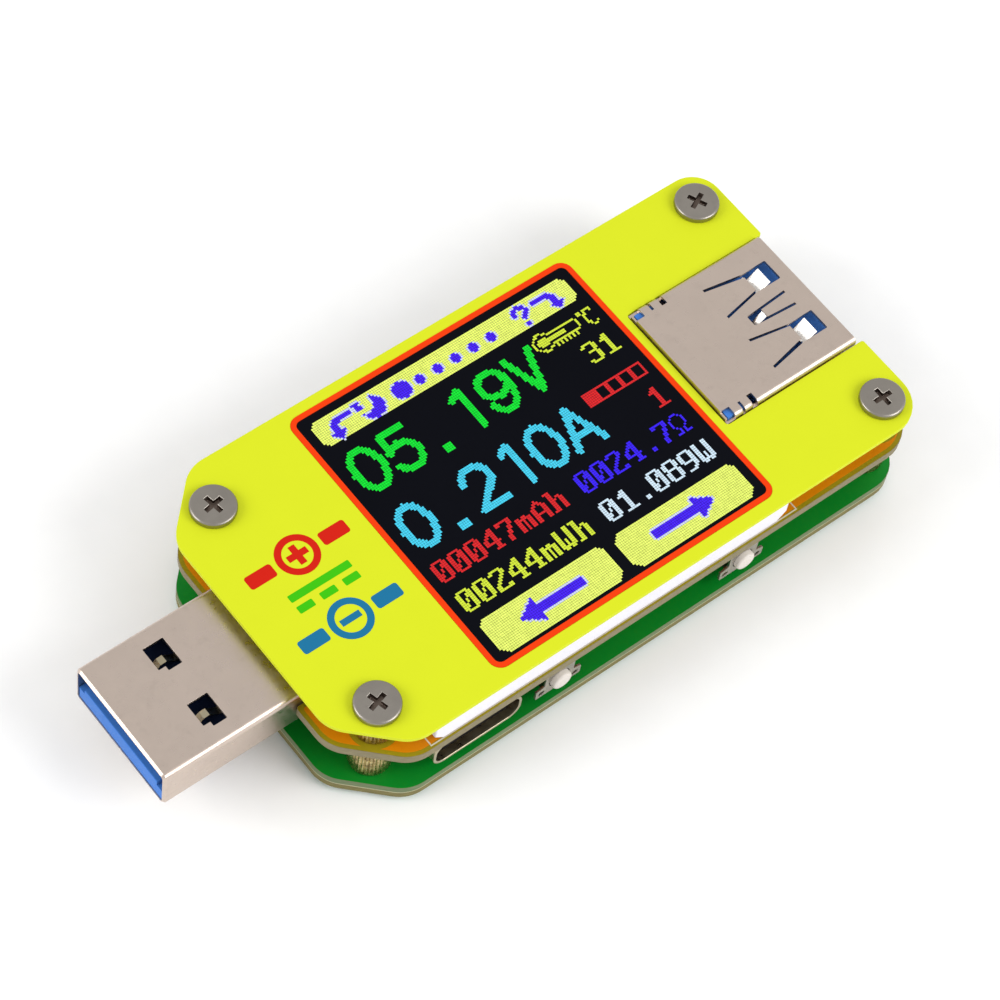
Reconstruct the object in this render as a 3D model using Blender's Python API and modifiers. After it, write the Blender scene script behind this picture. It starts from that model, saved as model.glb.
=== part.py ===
"""USB power meter: an in-line meter built as a stack of plates, with a USB 3.0 A plug at -X, a USB 3.0 A
socket at +X, a Type-C port and two side buttons on each long edge, and a colour display under the top cover.

Frame: metres, +Z up, origin at the bottom centre of the bounding box. +X points towards the socket, and -Y
towards the long edge that carries the input port. The sizes below are in millimetres, and MM turns them
into metres.
"""

import math

import bmesh
import bpy
from mathutils import Matrix, Vector

MM = 0.001
GAP = 0.02  # between pieces that touch
SIDES = (1, -1)

# Plates: covers and board share one outline
PLATE_LENGTH, PLATE_WIDTH = 59.2, 30.4
PLUG_REACH = 12.3  # of the plug beyond the plates
CHAMFER, CHAMFER_ROUND = 5.0, 3.3  # the plug end's corners
SOCKET_END_ROUNDS = (3.4, 2.6)  # at the front and back corner
BOARD_INSET = 0.25  # of the two boards' ends from the top cover's
NOTCH_TIP, NOTCH_CORNER = 0.25, 0.3  # radii
ARC_STEPS = 4

# The stack, from the face that the object rests on
HEAD_HEIGHT = 0.65
BOTTOM_COVER_THICK = 1.55
STANDOFF_LENGTH = 4.4
BOARD_THICK = 1.0
SPACER_LENGTH = 2.8
TOP_COVER_THICK = 0.5

BOTTOM_COVER_Z = HEAD_HEIGHT + GAP
STANDOFF_Z = BOTTOM_COVER_Z + BOTTOM_COVER_THICK + GAP
BOARD_Z = STANDOFF_Z + STANDOFF_LENGTH + GAP
BOARD_TOP = BOARD_Z + BOARD_THICK
SPACER_Z = BOARD_TOP + GAP
TOP_COVER_Z = SPACER_Z + SPACER_LENGTH + GAP
COVER_TOP = TOP_COVER_Z + TOP_COVER_THICK

MIDDLE_X = PLUG_REACH / 2  # of the plates
PLUG_EDGE_X = MIDDLE_X - PLATE_LENGTH / 2
SOCKET_EDGE_X = MIDDLE_X + PLATE_LENGTH / 2
EDGE_Y = PLATE_WIDTH / 2

# Screws M2 with ultra-thin flat heads, and round brass spacers
HEAD_RADIUS, SHANK_RADIUS = 1.97, 0.95
HEAD_EDGE = 0.12
HOLE_RADIUS = 1.1
SPACER_RADIUS = 1.85
RECESS_REACH, RECESS_WIDTH, RECESS_DEPTH = 0.92, 0.42, 0.38
PLUG_END_SCREWS = (MIDDLE_X - 25.25, 10.9)  # x, |y|
SOCKET_END_SCREWS = (MIDDLE_X + 26.8, 12.2)
TOP_SHANK, BOTTOM_SHANK = 5.6, 3.9

# Display module, 1.44 inch
DISPLAY_X = (MIDDLE_X - 22.4, MIDDLE_X + 14.35)
DISPLAY_WIDTH = 30.0
DISPLAY_LIFT = 0.2  # of the module over the board, where its tape runs
DISPLAY_RIM = 0.55
GLASS_THICK = 0.7
FLEX_WIDTH, FLEX_THICK, FLEX_TAIL, FLEX_BEND = 12.0, 0.1, 8.0, 0.45

# USB-A plug
PLUG_WIDTH, PLUG_HEIGHT, SHEET = 12.0, 4.5, 0.3
PLUG_TIP_X = PLUG_EDGE_X - PLUG_REACH
PLUG_BACK_X = MIDDLE_X - 23.9
PLUG_Z = COVER_TOP - 1.77 - PLUG_HEIGHT
PLUG_ROUND = 0.55
WINDOW_FROM_TIP, WINDOW_LENGTH, WINDOW_WIDTH, WINDOW_Y = 5.16, 1.95, 2.7, 3.0
WINDOW_STEP = (0.65, 0.45)  # the corner left uncut, along x and y
PLUG_TONGUE_INSET = 0.08  # of the blue tongue from the mouth
PLUG_BLOCK_FROM_TIP, PLUG_BLOCK_LIFT = 11.5, 0.2
CONNECTOR_EDGE = 0.15
TONGUE_THICK = 1.95

# USB-A socket
SOCKET_WIDTH, SOCKET_HEIGHT = 13.1, 5.72
SOCKET_X = (MIDDLE_X + 14.55, MIDDLE_X + 28.9)
SOCKET_Z = COVER_TOP + 0.48 - SOCKET_HEIGHT
SOCKET_ROUND = 0.5
SOCKET_TONGUE = (10.4, 1.84, 10.95)  # width, thickness, length
SOCKET_TONGUE_BELOW_TOP = 1.2
SOCKET_BLOCK = 2.6
FINGER_WINDOW = (2.6, 2.15)  # along x and y, in the shell's top
FINGER_FROM_MOUTH, FINGER_Y = 1.25, 3.07
INSULATOR_INSET = 0.3  # from a connector's rear end

# Contacts of both A connectors
CONTACT_Y = (-3.5, -1.0, 1.0, 3.5)
CONTACT_WIDTH, CONTACT_THICK, CONTACT_LENGTH = 1.0, 0.2, 7.2
CONTACT_INSET = 1.3  # of its end from the plug's tip or the socket's tongue's tip

# Cut-outs of board and cover round the connectors
CUT_SPACE = 0.25
COVER_SPACE, PLUG_SPACE = 0.1, 0.08

# Type-C ports, on the board's underside
PORT_WIDTH, PORT_HEIGHT, PORT_DEPTH, PORT_SHEET = 8.94, 3.26, 7.3, 0.28
PORT_INSET = 0.15  # of the mouth from the plates' edge
PORT_TONGUE = (6.7, 0.7, 4.3)
PORT_BLOCK, PORT_BLOCK_INSET = 2.4, 0.2
PORT_FLATTEN = 0.35  # how much less its corner radius is than half its height
PORTS = (("input", MIDDLE_X - 17.7, -1), ("output", MIDDLE_X + 18.0, 1))  # name, x, side

# Side buttons, on the board's underside: 1 and 2 on the front edge, 3 and 4 on the back edge
BUTTON_WIDTH, BUTTON_DEPTH, BUTTON_HEIGHT = 4.7, 2.6, 3.5
BUTTON_INSET = 0.3
PLUNGER_RADIUS, PLUNGER_BORE, PLUNGER_PROUD = 0.95, 1.02, 0.25
PLUNGER_INSIDE, BUTTON_TRAVEL = 0.9, 0.25
PLUNGER_DROP = 2.05  # of the plunger's axis below the board
BUTTON_X = (MIDDLE_X - 9.15, MIDDLE_X + 10.5)

# Parts soldered under the board: name, centre x and y, and size
CHIPS = (
    ("microcontroller", MIDDLE_X - 3.0, 0.0, (7.0, 7.0, 1.4)),
    ("sense_amplifier", MIDDLE_X + 6.6, -1.0, (4.9, 3.9, 1.45)),
    ("shunt_resistor_1", MIDDLE_X - 14.0, -4.2, (6.3, 3.2, 0.7)),
    ("shunt_resistor_2", MIDDLE_X - 14.0, 0.4, (6.3, 3.2, 0.7)),
    ("voltage_regulator", MIDDLE_X + 6.0, 7.0, (6.5, 3.5, 1.6)),
    ("crystal", MIDDLE_X - 3.0, 7.0, (3.2, 2.5, 0.8)),
    ("input_capacitor", MIDDLE_X - 14.0, 6.0, (3.2, 1.6, 1.6)),
    ("output_capacitor", MIDDLE_X + 6.6, -6.0, (3.2, 1.6, 1.6)),
)

CHIP_EDGE = 0.1

COLOURS = {  # material: colour, roughness, metallic
    "yellow_print": ((0.76, 0.86, 0.03), 0.35, 0.0),
    "white_plastic": ((0.85, 0.84, 0.86), 0.5, 0.0),
    "dark_glass": ((0.01, 0.01, 0.015), 0.08, 0.0),
    "polyimide": ((0.45, 0.2, 0.03), 0.35, 0.0),
    "yellow_board": ((0.5, 0.36, 0.02), 0.4, 0.0),
    "green_board": ((0.0, 0.16, 0.02), 0.3, 0.0),
    "screw_steel": ((0.42, 0.38, 0.37), 0.35, 1.0),
    "brass": ((0.6, 0.48, 0.2), 0.35, 1.0),
    "nickel": ((0.6, 0.54, 0.49), 0.35, 1.0),
    "blue_plastic": ((0.07, 0.2, 0.6), 0.45, 0.0),
    "black_plastic": ((0.02, 0.02, 0.02), 0.5, 0.0),
    "gold": ((0.8, 0.58, 0.22), 0.25, 1.0),
    "ceramic": ((0.32, 0.24, 0.16), 0.5, 0.0),
}


# These put a shape that is drawn in XY and thickened along Z onto another axis
ALONG_X = Matrix(((0, 0, 1, 0), (1, 0, 0, 0), (0, 1, 0, 0), (0, 0, 0, 1)))
ALONG_Y = Matrix(((1, 0, 0, 0), (0, 0, -1, 0), (0, 1, 0, 0), (0, 0, 0, 1)))


def clear_scene():
    for obj in list(bpy.data.objects):
        bpy.data.objects.remove(obj)


def make_collection(name):
    collection = bpy.data.collections.new(name)
    bpy.context.scene.collection.children.link(collection)
    return collection


clear_scene()
PARTS = make_collection("usb_power_meter")
CUTTERS = make_collection("cutters")


def material(name):
    found = bpy.data.materials.get(name)
    if found:
        return found
    made = bpy.data.materials.new(name)
    made.use_nodes = True
    colour, roughness, metallic = COLOURS[name]
    shader = made.node_tree.nodes["Principled BSDF"]
    shader.inputs["Base Color"].default_value = (*colour, 1)
    shader.inputs["Roughness"].default_value = roughness
    shader.inputs["Metallic"].default_value = metallic
    made.diffuse_color = (*colour, 1)
    return made


def add(name, data, slot):
    """An object of the part, or a cutter where slot is None."""
    obj = bpy.data.objects.new(name, data)
    if slot is None:
        CUTTERS.objects.link(obj)
        obj.hide_render = True
        obj.display_type = "WIRE"
        return obj
    data.materials.append(material(slot))
    PARTS.objects.link(obj)
    return obj


def mesh_of(shape, name):
    mesh = bpy.data.meshes.new(name)
    shape.to_mesh(mesh)
    shape.free()
    return mesh


def box(name, x, y, z, slot=None, edge=0.0):
    """A box from the (low, high) pairs x, y and z, with its edges broken by edge."""
    low, high = Vector((x[0], y[0], z[0])) * MM, Vector((x[1], y[1], z[1])) * MM
    shape = bmesh.new()
    bmesh.ops.create_cube(shape, size=1)
    bmesh.ops.scale(shape, vec=high - low, verts=shape.verts)
    obj = add(name, mesh_of(shape, name), slot)
    obj.location = (low + high) / 2
    if edge:
        bevel = obj.modifiers.new("edges", "BEVEL")
        bevel.width = edge * MM
        bevel.segments = 1
    return obj


def cylinder(name, radius, span, place, slot=None, steps=24, along="Z"):
    """A cylinder along Z or Y: span is its (low, high) on that axis, and place its other two coordinates."""
    shape = bmesh.new()
    length = (span[1] - span[0]) * MM
    bmesh.ops.create_cone(
        shape, cap_ends=True, segments=steps, radius1=radius * MM, radius2=radius * MM, depth=length
    )
    if along == "Y":
        bmesh.ops.rotate(shape, matrix=Matrix.Rotation(math.pi / 2, 3, "X"), verts=shape.verts)
    obj = add(name, mesh_of(shape, name), slot)
    middle = (span[0] + span[1]) / 2
    centre = (place[0], place[1], middle) if along == "Z" else (place[0], middle, place[1])
    obj.location = Vector(centre) * MM
    return obj


def circle(radius, centre=(0, 0), steps=16):
    turns = (2 * math.pi * i / steps for i in range(steps))
    return [(centre[0] + radius * math.cos(a), centre[1] + radius * math.sin(a)) for a in turns]


def rounded(corners, steps=ARC_STEPS):
    """The outline through corners (x, y, radius), each rounded by its radius."""
    points = []
    for i, (x, y, radius) in enumerate(corners):
        corner = Vector((x, y))
        before = (Vector(corners[i - 1][:2]) - corner).normalized()
        after = (Vector(corners[(i + 1) % len(corners)][:2]) - corner).normalized()
        if not radius:
            points.append(tuple(corner))
            continue
        half = before.angle(after) / 2
        centre = corner + (before + after).normalized() * radius / math.sin(half)
        start = corner + before * radius / math.tan(half) - centre
        sweep = math.copysign(math.pi - 2 * half, before.x * after.y - before.y * after.x)
        for step in range(steps + 1):
            arm = Matrix.Rotation(-sweep * step / steps, 2) @ start
            points.append(tuple(centre + arm))
    return points


def rectangle(x, y, radius=0.0):
    corners = ((x[0], y[0]), (x[1], y[0]), (x[1], y[1]), (x[0], y[1]))
    return rounded([(*corner, radius) for corner in corners])


def outline_curve(name, loops, thickness, slot):
    """A flat outline with holes, drawn in its own XY plane and thickened about it."""
    curve = bpy.data.curves.new(name, "CURVE")
    curve.dimensions = "2D"
    curve.fill_mode = "BOTH"
    curve.extrude = thickness * MM / 2
    for loop in loops:
        spline = curve.splines.new("POLY")
        spline.points.add(len(loop) - 1)
        for point, (x, y) in zip(spline.points, loop):
            point.co = (x * MM, y * MM, 0, 1)
        spline.use_cyclic_u = True
    return add(name, curve, slot)


def to_mesh(obj):
    """The same object as a mesh with its caps welded, so that it can be cut."""
    bpy.context.view_layer.update()
    graph = bpy.context.evaluated_depsgraph_get()
    mesh = bpy.data.meshes.new_from_object(obj.evaluated_get(graph))
    shape = bmesh.new()
    shape.from_mesh(mesh)
    bmesh.ops.remove_doubles(shape, verts=shape.verts, dist=0.001 * MM)
    bmesh.ops.recalc_face_normals(shape, faces=shape.faces)
    shape.to_mesh(mesh)
    shape.free()
    name, home, hidden = obj.name, obj.users_collection[0], obj.hide_render
    place = obj.matrix_world.copy()
    bpy.data.objects.remove(obj)
    made = bpy.data.objects.new(name, mesh)
    home.objects.link(made)
    made.matrix_world = place
    made.hide_render = hidden
    if hidden:
        made.display_type = "WIRE"
    return made


def plate(name, loops, low, thickness, slot):
    """A flat piece with its underside at height low."""
    obj = outline_curve(name, loops, thickness, slot)
    obj.location.z = (low + thickness / 2) * MM
    return obj


def tube_along(name, outer, inner, axis, span, slot):
    """A sheet-metal tube: two outlines of the cross-section (width, height), drawn out along X or Y."""
    obj = outline_curve(name, [outer, inner], span[1] - span[0], slot)
    middle = (span[0] + span[1]) / 2 * MM
    if axis == "X":
        obj.matrix_world = Matrix.Translation((middle, 0, 0)) @ ALONG_X
    else:
        obj.matrix_world = Matrix.Translation((0, middle, 0)) @ ALONG_Y
    return to_mesh(obj)


def cut(obj, cutter, operation="DIFFERENCE"):
    modifier = obj.modifiers.new(cutter.name, "BOOLEAN")
    modifier.operation = operation
    modifier.solver = "EXACT"
    modifier.object = cutter


def join(obj, *others):
    """Unites obj with its helpers, which then count as cutters."""
    for other in others:
        cut(obj, other, "UNION")


def shade_round(obj):
    obj.data.shade_smooth()
    obj.data.set_sharp_from_angle(angle=math.radians(35))


def plate_corners(inset=0.0):
    """The outline that covers and board share: chamfered at the plug, rounded at the socket."""
    left, right, edge = PLUG_EDGE_X + inset, SOCKET_EDGE_X - inset, EDGE_Y
    return {
        "plug_end": [
            (left + CHAMFER, edge, CHAMFER_ROUND),
            (left, edge - CHAMFER, CHAMFER_ROUND),
            (left, CHAMFER - edge, CHAMFER_ROUND),
            (left + CHAMFER, -edge, CHAMFER_ROUND),
        ],
        "socket_end": [(right, -edge, SOCKET_END_ROUNDS[0]), (right, edge, SOCKET_END_ROUNDS[1])],
    }


def notch(edge_x, inner_x, half_width):
    """Corners of a cut-out that is open at edge_x, listed from its -Y side to its +Y side."""
    return [
        (edge_x, -half_width, NOTCH_TIP),
        (inner_x, -half_width, NOTCH_CORNER),
        (inner_x, half_width, NOTCH_CORNER),
        (edge_x, half_width, NOTCH_TIP),
    ]


def screw_places():
    (x1, y1), (x2, y2) = PLUG_END_SCREWS, SOCKET_END_SCREWS
    return [(x1, -y1), (x1, y1), (x2, -y2), (x2, y2)]


def holes():
    return [circle(HOLE_RADIUS, place) for place in screw_places()]


def make_plates():
    ends, inset = plate_corners(), plate_corners(BOARD_INSET)
    cover_notch = notch(SOCKET_EDGE_X, SOCKET_X[0] - COVER_SPACE, SOCKET_WIDTH / 2 + COVER_SPACE)
    socket_notch = notch(
        SOCKET_EDGE_X - BOARD_INSET, SOCKET_X[0] - CUT_SPACE, SOCKET_WIDTH / 2 + CUT_SPACE
    )
    plug_notch = notch(PLUG_EDGE_X + BOARD_INSET, PLUG_BACK_X + CUT_SPACE, PLUG_WIDTH / 2 + PLUG_SPACE)
    front, back = inset["socket_end"]
    plug_back, plug_front = inset["plug_end"][:2], inset["plug_end"][2:]
    whole = rounded(inset["plug_end"] + inset["socket_end"])
    carved = rounded([*plug_back, *plug_notch[::-1], *plug_front, front, *socket_notch, back])
    front, back = ends["socket_end"]
    covered = rounded(ends["plug_end"] + [front, *cover_notch, back])
    plate("bottom_cover", [whole, *holes()], BOTTOM_COVER_Z, BOTTOM_COVER_THICK, "green_board")
    plate("main_board", [carved, *holes()], BOARD_Z, BOARD_THICK, "yellow_board")
    plate("top_cover", [covered, *holes()], TOP_COVER_Z, TOP_COVER_THICK, "yellow_print")


def screw_mesh(shank, up):
    """A screw whose head rests on z = 0, with its shank away from the side that up names."""
    profile = [
        (0, HEAD_HEIGHT),
        (HEAD_RADIUS - HEAD_EDGE, HEAD_HEIGHT),
        (HEAD_RADIUS, HEAD_HEIGHT - HEAD_EDGE),
        (HEAD_RADIUS, 0),
        (SHANK_RADIUS, 0),
        (SHANK_RADIUS, -shank),
        (0, -shank),
    ]
    shape = bmesh.new()
    corners = [shape.verts.new((r * MM, 0, z * MM)) for r, z in profile]
    for start, end in zip(corners, corners[1:]):
        shape.edges.new((start, end))
    if not up:
        bmesh.ops.rotate(shape, matrix=Matrix.Rotation(math.pi, 3, "X"), verts=shape.verts)
    return mesh_of(shape, "screw_profile")


def turn(obj, steps=24):
    screw = obj.modifiers.new("turn", "SCREW")
    screw.steps = screw.render_steps = steps
    screw.use_merge_vertices = True
    screw.merge_threshold = 0.0001 * MM
    return screw


def recess_cutters(name, place, face, up):
    """The two bars of a cross recess, sunk into the head's face."""
    inner = face - RECESS_DEPTH if up else face + RECESS_DEPTH
    span = sorted((inner, face + 1 if up else face - 1))
    made = []
    for index in range(2):
        bar = box(
            f"{name}_recess_{index + 1}",
            (-RECESS_REACH, RECESS_REACH),
            (-RECESS_WIDTH / 2, RECESS_WIDTH / 2),
            span,
        )
        bar.location += Vector((*place, 0)) * MM
        bar.rotation_euler.z = math.radians(45 + 90 * index)
        made.append(bar)
    return made


def make_fasteners():
    meshes = {True: screw_mesh(TOP_SHANK, True), False: screw_mesh(BOTTOM_SHANK, False)}
    for index, place in enumerate(screw_places(), 1):
        for side, up, seat, face in (
            ("top", True, COVER_TOP + GAP, COVER_TOP + GAP + HEAD_HEIGHT),
            ("bottom", False, HEAD_HEIGHT, 0.0),
        ):
            name = f"{side}_screw_{index}"
            screw = add(name, meshes[up], "screw_steel")
            screw.location = Vector((*place, seat)) * MM
            turned = turn(screw)
            turned.use_normal_flip = not up
            for bar in recess_cutters(name, place, face, up):
                cut(screw, bar)
        ring = [circle(SPACER_RADIUS, place, 24), circle(HOLE_RADIUS, place)]
        plate(f"lower_standoff_{index}", ring, STANDOFF_Z, STANDOFF_LENGTH, "brass")
        plate(f"upper_spacer_{index}", ring, SPACER_Z, SPACER_LENGTH, "brass")


def make_display():
    low, high = BOARD_TOP + DISPLAY_LIFT, TOP_COVER_Z - GAP
    half = DISPLAY_WIDTH / 2
    frame = box("display_frame", DISPLAY_X, (-half, half), (low, high), "white_plastic")
    inside_x = (DISPLAY_X[0] + DISPLAY_RIM, DISPLAY_X[1] - DISPLAY_RIM)
    inside_y = half - DISPLAY_RIM
    pocket = box("display_pocket", inside_x, (-inside_y, inside_y), (high - GLASS_THICK, high + 1))
    cut(frame, pocket)
    glass_x = (inside_x[0] + GAP, inside_x[1] - GAP)
    glass_y = (GAP - inside_y, inside_y - GAP)
    box("display_glass", glass_x, glass_y, (high - GLASS_THICK + GAP, high), "dark_glass")
    make_flex(low, high)


def make_flex(low, high):
    """The tape that leaves the module's plug end, turns down and lies between module and board."""
    end = DISPLAY_X[0]
    top, bottom = (low + high) / 2, low - GAP - FLEX_THICK
    outer = [
        (end - GAP, top, 0),
        (end - FLEX_BEND, top, 0.2),
        (end - FLEX_BEND, bottom, 0.3),
        (end + FLEX_TAIL, bottom, 0),
    ]
    inner = [
        (end + FLEX_TAIL, bottom + FLEX_THICK, 0),
        (end - FLEX_BEND + FLEX_THICK, bottom + FLEX_THICK, 0.2),
        (end - FLEX_BEND + FLEX_THICK, top - FLEX_THICK, 0.1),
        (end - GAP, top - FLEX_THICK, 0),
    ]
    flex = outline_curve("display_flex", [rounded(outer + inner, 3)], FLEX_WIDTH, "polyimide")
    flex.matrix_world = ALONG_Y


def make_plug():
    low, high, half = PLUG_Z, PLUG_Z + PLUG_HEIGHT, PLUG_WIDTH / 2
    outer = rectangle((-half, half), (low, high), PLUG_ROUND)
    wall = SHEET
    inner = rectangle((wall - half, half - wall), (low + wall, high - wall), PLUG_ROUND - wall)
    shell = tube_along("plug_shell", outer, inner, "X", (PLUG_TIP_X, PLUG_BACK_X), "nickel")
    start = PLUG_TIP_X + WINDOW_FROM_TIP
    for side in SIDES:
        reach = WINDOW_WIDTH / 2
        step_x, step_y = WINDOW_STEP
        corners = [
            (start, reach, 0),
            (start, step_y - reach, 0),
            (start + step_x, step_y - reach, 0),
            (start + step_x, -reach, 0),
            (start + WINDOW_LENGTH, -reach, 0),
            (start + WINDOW_LENGTH, reach, 0),
        ]
        name = "window_back" if side > 0 else "window_front"
        window = outline_curve(name, [rounded(corners)], PLUG_HEIGHT + 2, None)
        window.location = Vector((0, side * WINDOW_Y, low + PLUG_HEIGHT / 2)) * MM
        cut(shell, to_mesh(window))

    inside = half - wall - GAP
    floor, roof = low + wall + GAP, high - wall - GAP
    top = floor + TONGUE_THICK
    rear = PLUG_BACK_X - INSULATOR_INSET
    insulator = box(
        "plug_insulator",
        (PLUG_TIP_X + PLUG_TONGUE_INSET, rear),
        (-inside, inside),
        (floor, top),
        "blue_plastic",
        CONNECTOR_EDGE,
    )
    block = box(
        "plug_block",
        (PLUG_TIP_X + PLUG_BLOCK_FROM_TIP, rear),
        (-inside, inside),
        (floor + PLUG_BLOCK_LIFT, roof),
        None,
        CONNECTOR_EDGE,
    )
    join(insulator, block)
    for index, y in enumerate(CONTACT_Y, 1):
        span = (PLUG_TIP_X + CONTACT_INSET, PLUG_TIP_X + CONTACT_INSET + CONTACT_LENGTH)
        half_width = CONTACT_WIDTH / 2
        box(
            f"plug_contact_{index}",
            span,
            (y - half_width, y + half_width),
            (top + GAP, top + GAP + CONTACT_THICK),
            "gold",
        )


def make_socket():
    low, high, half = SOCKET_Z, SOCKET_Z + SOCKET_HEIGHT, SOCKET_WIDTH / 2
    wall = SHEET
    outer = rectangle((-half, half), (low, high), SOCKET_ROUND)
    inner = rectangle((wall - half, half - wall), (low + wall, high - wall), SOCKET_ROUND - wall)
    shell = tube_along("socket_shell", outer, inner, "X", SOCKET_X, "nickel")
    length, width = FINGER_WINDOW
    mouth = SOCKET_X[1] - FINGER_FROM_MOUTH
    for side in SIDES:
        middle = side * FINGER_Y
        name = "finger_back" if side > 0 else "finger_front"
        window = box(
            name,
            (mouth - length, mouth),
            (middle - width / 2, middle + width / 2),
            (low - 1, high + 1),
        )
        cut(shell, window)

    inside = half - wall - GAP
    start = SOCKET_X[0] + INSULATOR_INSET
    block = box(
        "socket_insulator",
        (start, start + SOCKET_BLOCK),
        (-inside, inside),
        (low + wall + GAP, high - wall - GAP),
        "blue_plastic",
        CONNECTOR_EDGE,
    )
    tongue_width, tongue_thick, tongue_length = SOCKET_TONGUE
    top = high - SOCKET_TONGUE_BELOW_TOP
    tongue_end = start + SOCKET_BLOCK + tongue_length
    tongue = box(
        "socket_tongue",
        (start + SOCKET_BLOCK / 2, tongue_end),
        (-tongue_width / 2, tongue_width / 2),
        (top - tongue_thick, top),
        None,
        CONNECTOR_EDGE,
    )
    join(block, tongue)
    under = top - tongue_thick - GAP
    for index, y in enumerate(CONTACT_Y, 1):
        half_width = CONTACT_WIDTH / 2
        box(
            f"socket_contact_{index}",
            (tongue_end - CONTACT_INSET - CONTACT_LENGTH, tongue_end - CONTACT_INSET),
            (y - half_width, y + half_width),
            (under - CONTACT_THICK, under),
            "gold",
        )


def make_ports():
    high = BOARD_Z - GAP
    low = high - PORT_HEIGHT
    middle_z = (low + high) / 2
    for name, x, side in PORTS:
        mouth = side * (EDGE_Y - PORT_INSET)
        back = mouth - side * PORT_DEPTH
        half, wall = PORT_WIDTH / 2, PORT_SHEET
        turn = PORT_HEIGHT / 2 - PORT_FLATTEN
        outer = rectangle((x - half, x + half), (low, high), turn)
        inner = rectangle((x - half + wall, x + half - wall), (low + wall, high - wall), turn - wall)
        tube_along(f"{name}_port_shell", outer, inner, "Y", sorted((mouth, back)), "nickel")
        tongue_width, tongue_thick, tongue_length = PORT_TONGUE
        inside = half - wall - GAP
        rear = back + side * PORT_BLOCK_INSET
        block_loop = rectangle(
            (x - inside, x + inside), (low + wall + GAP, high - wall - GAP), turn - wall - GAP
        )
        block = outline_curve(f"{name}_port_tongue", [block_loop], PORT_BLOCK, "black_plastic")
        block.matrix_world = Matrix.Translation((0, (rear + side * PORT_BLOCK / 2) * MM, 0)) @ ALONG_Y
        block = to_mesh(block)
        front = rear + side * (PORT_BLOCK + tongue_length)
        blade = box(
            f"{name}_blade",
            (x - tongue_width / 2, x + tongue_width / 2),
            sorted((rear + side * PORT_BLOCK / 2, front)),
            (middle_z - tongue_thick / 2, middle_z + tongue_thick / 2),
        )
        join(block, blade)


def make_buttons():
    high = BOARD_Z - GAP
    axis_z = BOARD_Z - PLUNGER_DROP
    places = [(x, side) for side in (-1, 1) for x in BUTTON_X]
    for index, (x, side) in enumerate(places, 1):
        face = side * (EDGE_Y - BUTTON_INSET)
        housing = box(
            f"button_housing_{index}",
            (x - BUTTON_WIDTH / 2, x + BUTTON_WIDTH / 2),
            sorted((face, face - side * BUTTON_DEPTH)),
            (high - BUTTON_HEIGHT, high),
            "nickel",
            CONNECTOR_EDGE,
        )
        bore_end = face - side * (PLUNGER_INSIDE + BUTTON_TRAVEL + GAP)
        bore = cylinder(
            f"button_bore_{index}", PLUNGER_BORE, sorted((face + side, bore_end)), (x, axis_z), None, 20, "Y"
        )
        cut(housing, bore)
        tip = side * (EDGE_Y + PLUNGER_PROUD)
        plunger = cylinder(
            f"button_plunger_{index}",
            PLUNGER_RADIUS,
            sorted((tip, face - side * PLUNGER_INSIDE)),
            (x, axis_z),
            "white_plastic",
            20,
            "Y",
        )
        shade_round(plunger)


def make_chips():
    high = BOARD_Z - GAP
    for name, x, y, (length, width, height) in CHIPS:
        slot = "ceramic" if "capacitor" in name else "nickel" if name == "crystal" else "black_plastic"
        half_x, half_y = length / 2, width / 2
        box(name, (x - half_x, x + half_x), (y - half_y, y + half_y), (high - height, high), slot, CHIP_EDGE)


make_plates()
make_fasteners()
make_display()
make_plug()
make_socket()
make_ports()
make_buttons()
make_chips()
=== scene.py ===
"""Looks of the USB power meter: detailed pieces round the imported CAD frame, one procedural material for each
surface, a white floor, soft studio light, and a camera at the photograph's viewing angle.

Sizes are in millimetres, in the CAD frame: +X points to the socket, -Y to the edge with the input port.
"""

import math

import bmesh
import bpy
from mathutils import Matrix, Vector


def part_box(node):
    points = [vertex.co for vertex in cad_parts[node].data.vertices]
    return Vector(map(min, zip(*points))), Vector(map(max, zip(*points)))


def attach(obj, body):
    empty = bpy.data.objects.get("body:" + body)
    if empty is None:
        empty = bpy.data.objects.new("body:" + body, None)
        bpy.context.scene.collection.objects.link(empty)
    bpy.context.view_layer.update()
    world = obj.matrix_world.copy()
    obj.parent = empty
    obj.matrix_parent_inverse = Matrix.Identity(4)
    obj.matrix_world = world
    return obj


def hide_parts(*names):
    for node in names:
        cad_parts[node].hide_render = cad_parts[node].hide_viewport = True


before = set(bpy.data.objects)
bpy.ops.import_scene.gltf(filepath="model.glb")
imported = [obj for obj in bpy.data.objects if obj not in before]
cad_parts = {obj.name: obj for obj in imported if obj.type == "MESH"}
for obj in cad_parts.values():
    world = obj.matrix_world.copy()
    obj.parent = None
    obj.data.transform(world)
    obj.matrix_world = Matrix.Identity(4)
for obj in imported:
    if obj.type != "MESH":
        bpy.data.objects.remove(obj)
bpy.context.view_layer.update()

MM = 0.001
BODY = "meter"
SIDES = (1, -1)
SNUG = 0.005  # left between the window's border and what it touches
GAP = 0.02  # left between other pieces that fill one another
PRINT = 0.012  # height of print above the cover, and thickness of a lit pixel
PRINT_ROOT = 0.004  # how far print reaches down into the cover
MASK, MASK_INSET, MASK_HOLE = 0.02, 0.03, 1.15  # a board's solder mask: thickness, edge and holes
PAST = 1.0  # how far a cutter reaches past what it cuts

# Shared outline of the cover and the boards, as the CAD has it
CHAMFER, CHAMFER_ROUND = 5.0, 3.3
SOCKET_END_ROUNDS = (3.4, 2.6)  # at the front and back corner
SMALLEST_ROUND = 0.2
BOARD_INSET = 0.25  # of the boards' ends from the cover's
CUT_SPACE, COVER_SPACE, PLUG_SPACE = 0.25, 0.1, 0.08
NOTCH_TIP, NOTCH_CORNER = 0.25, 0.3
HOLE_RADIUS = 1.1

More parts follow.
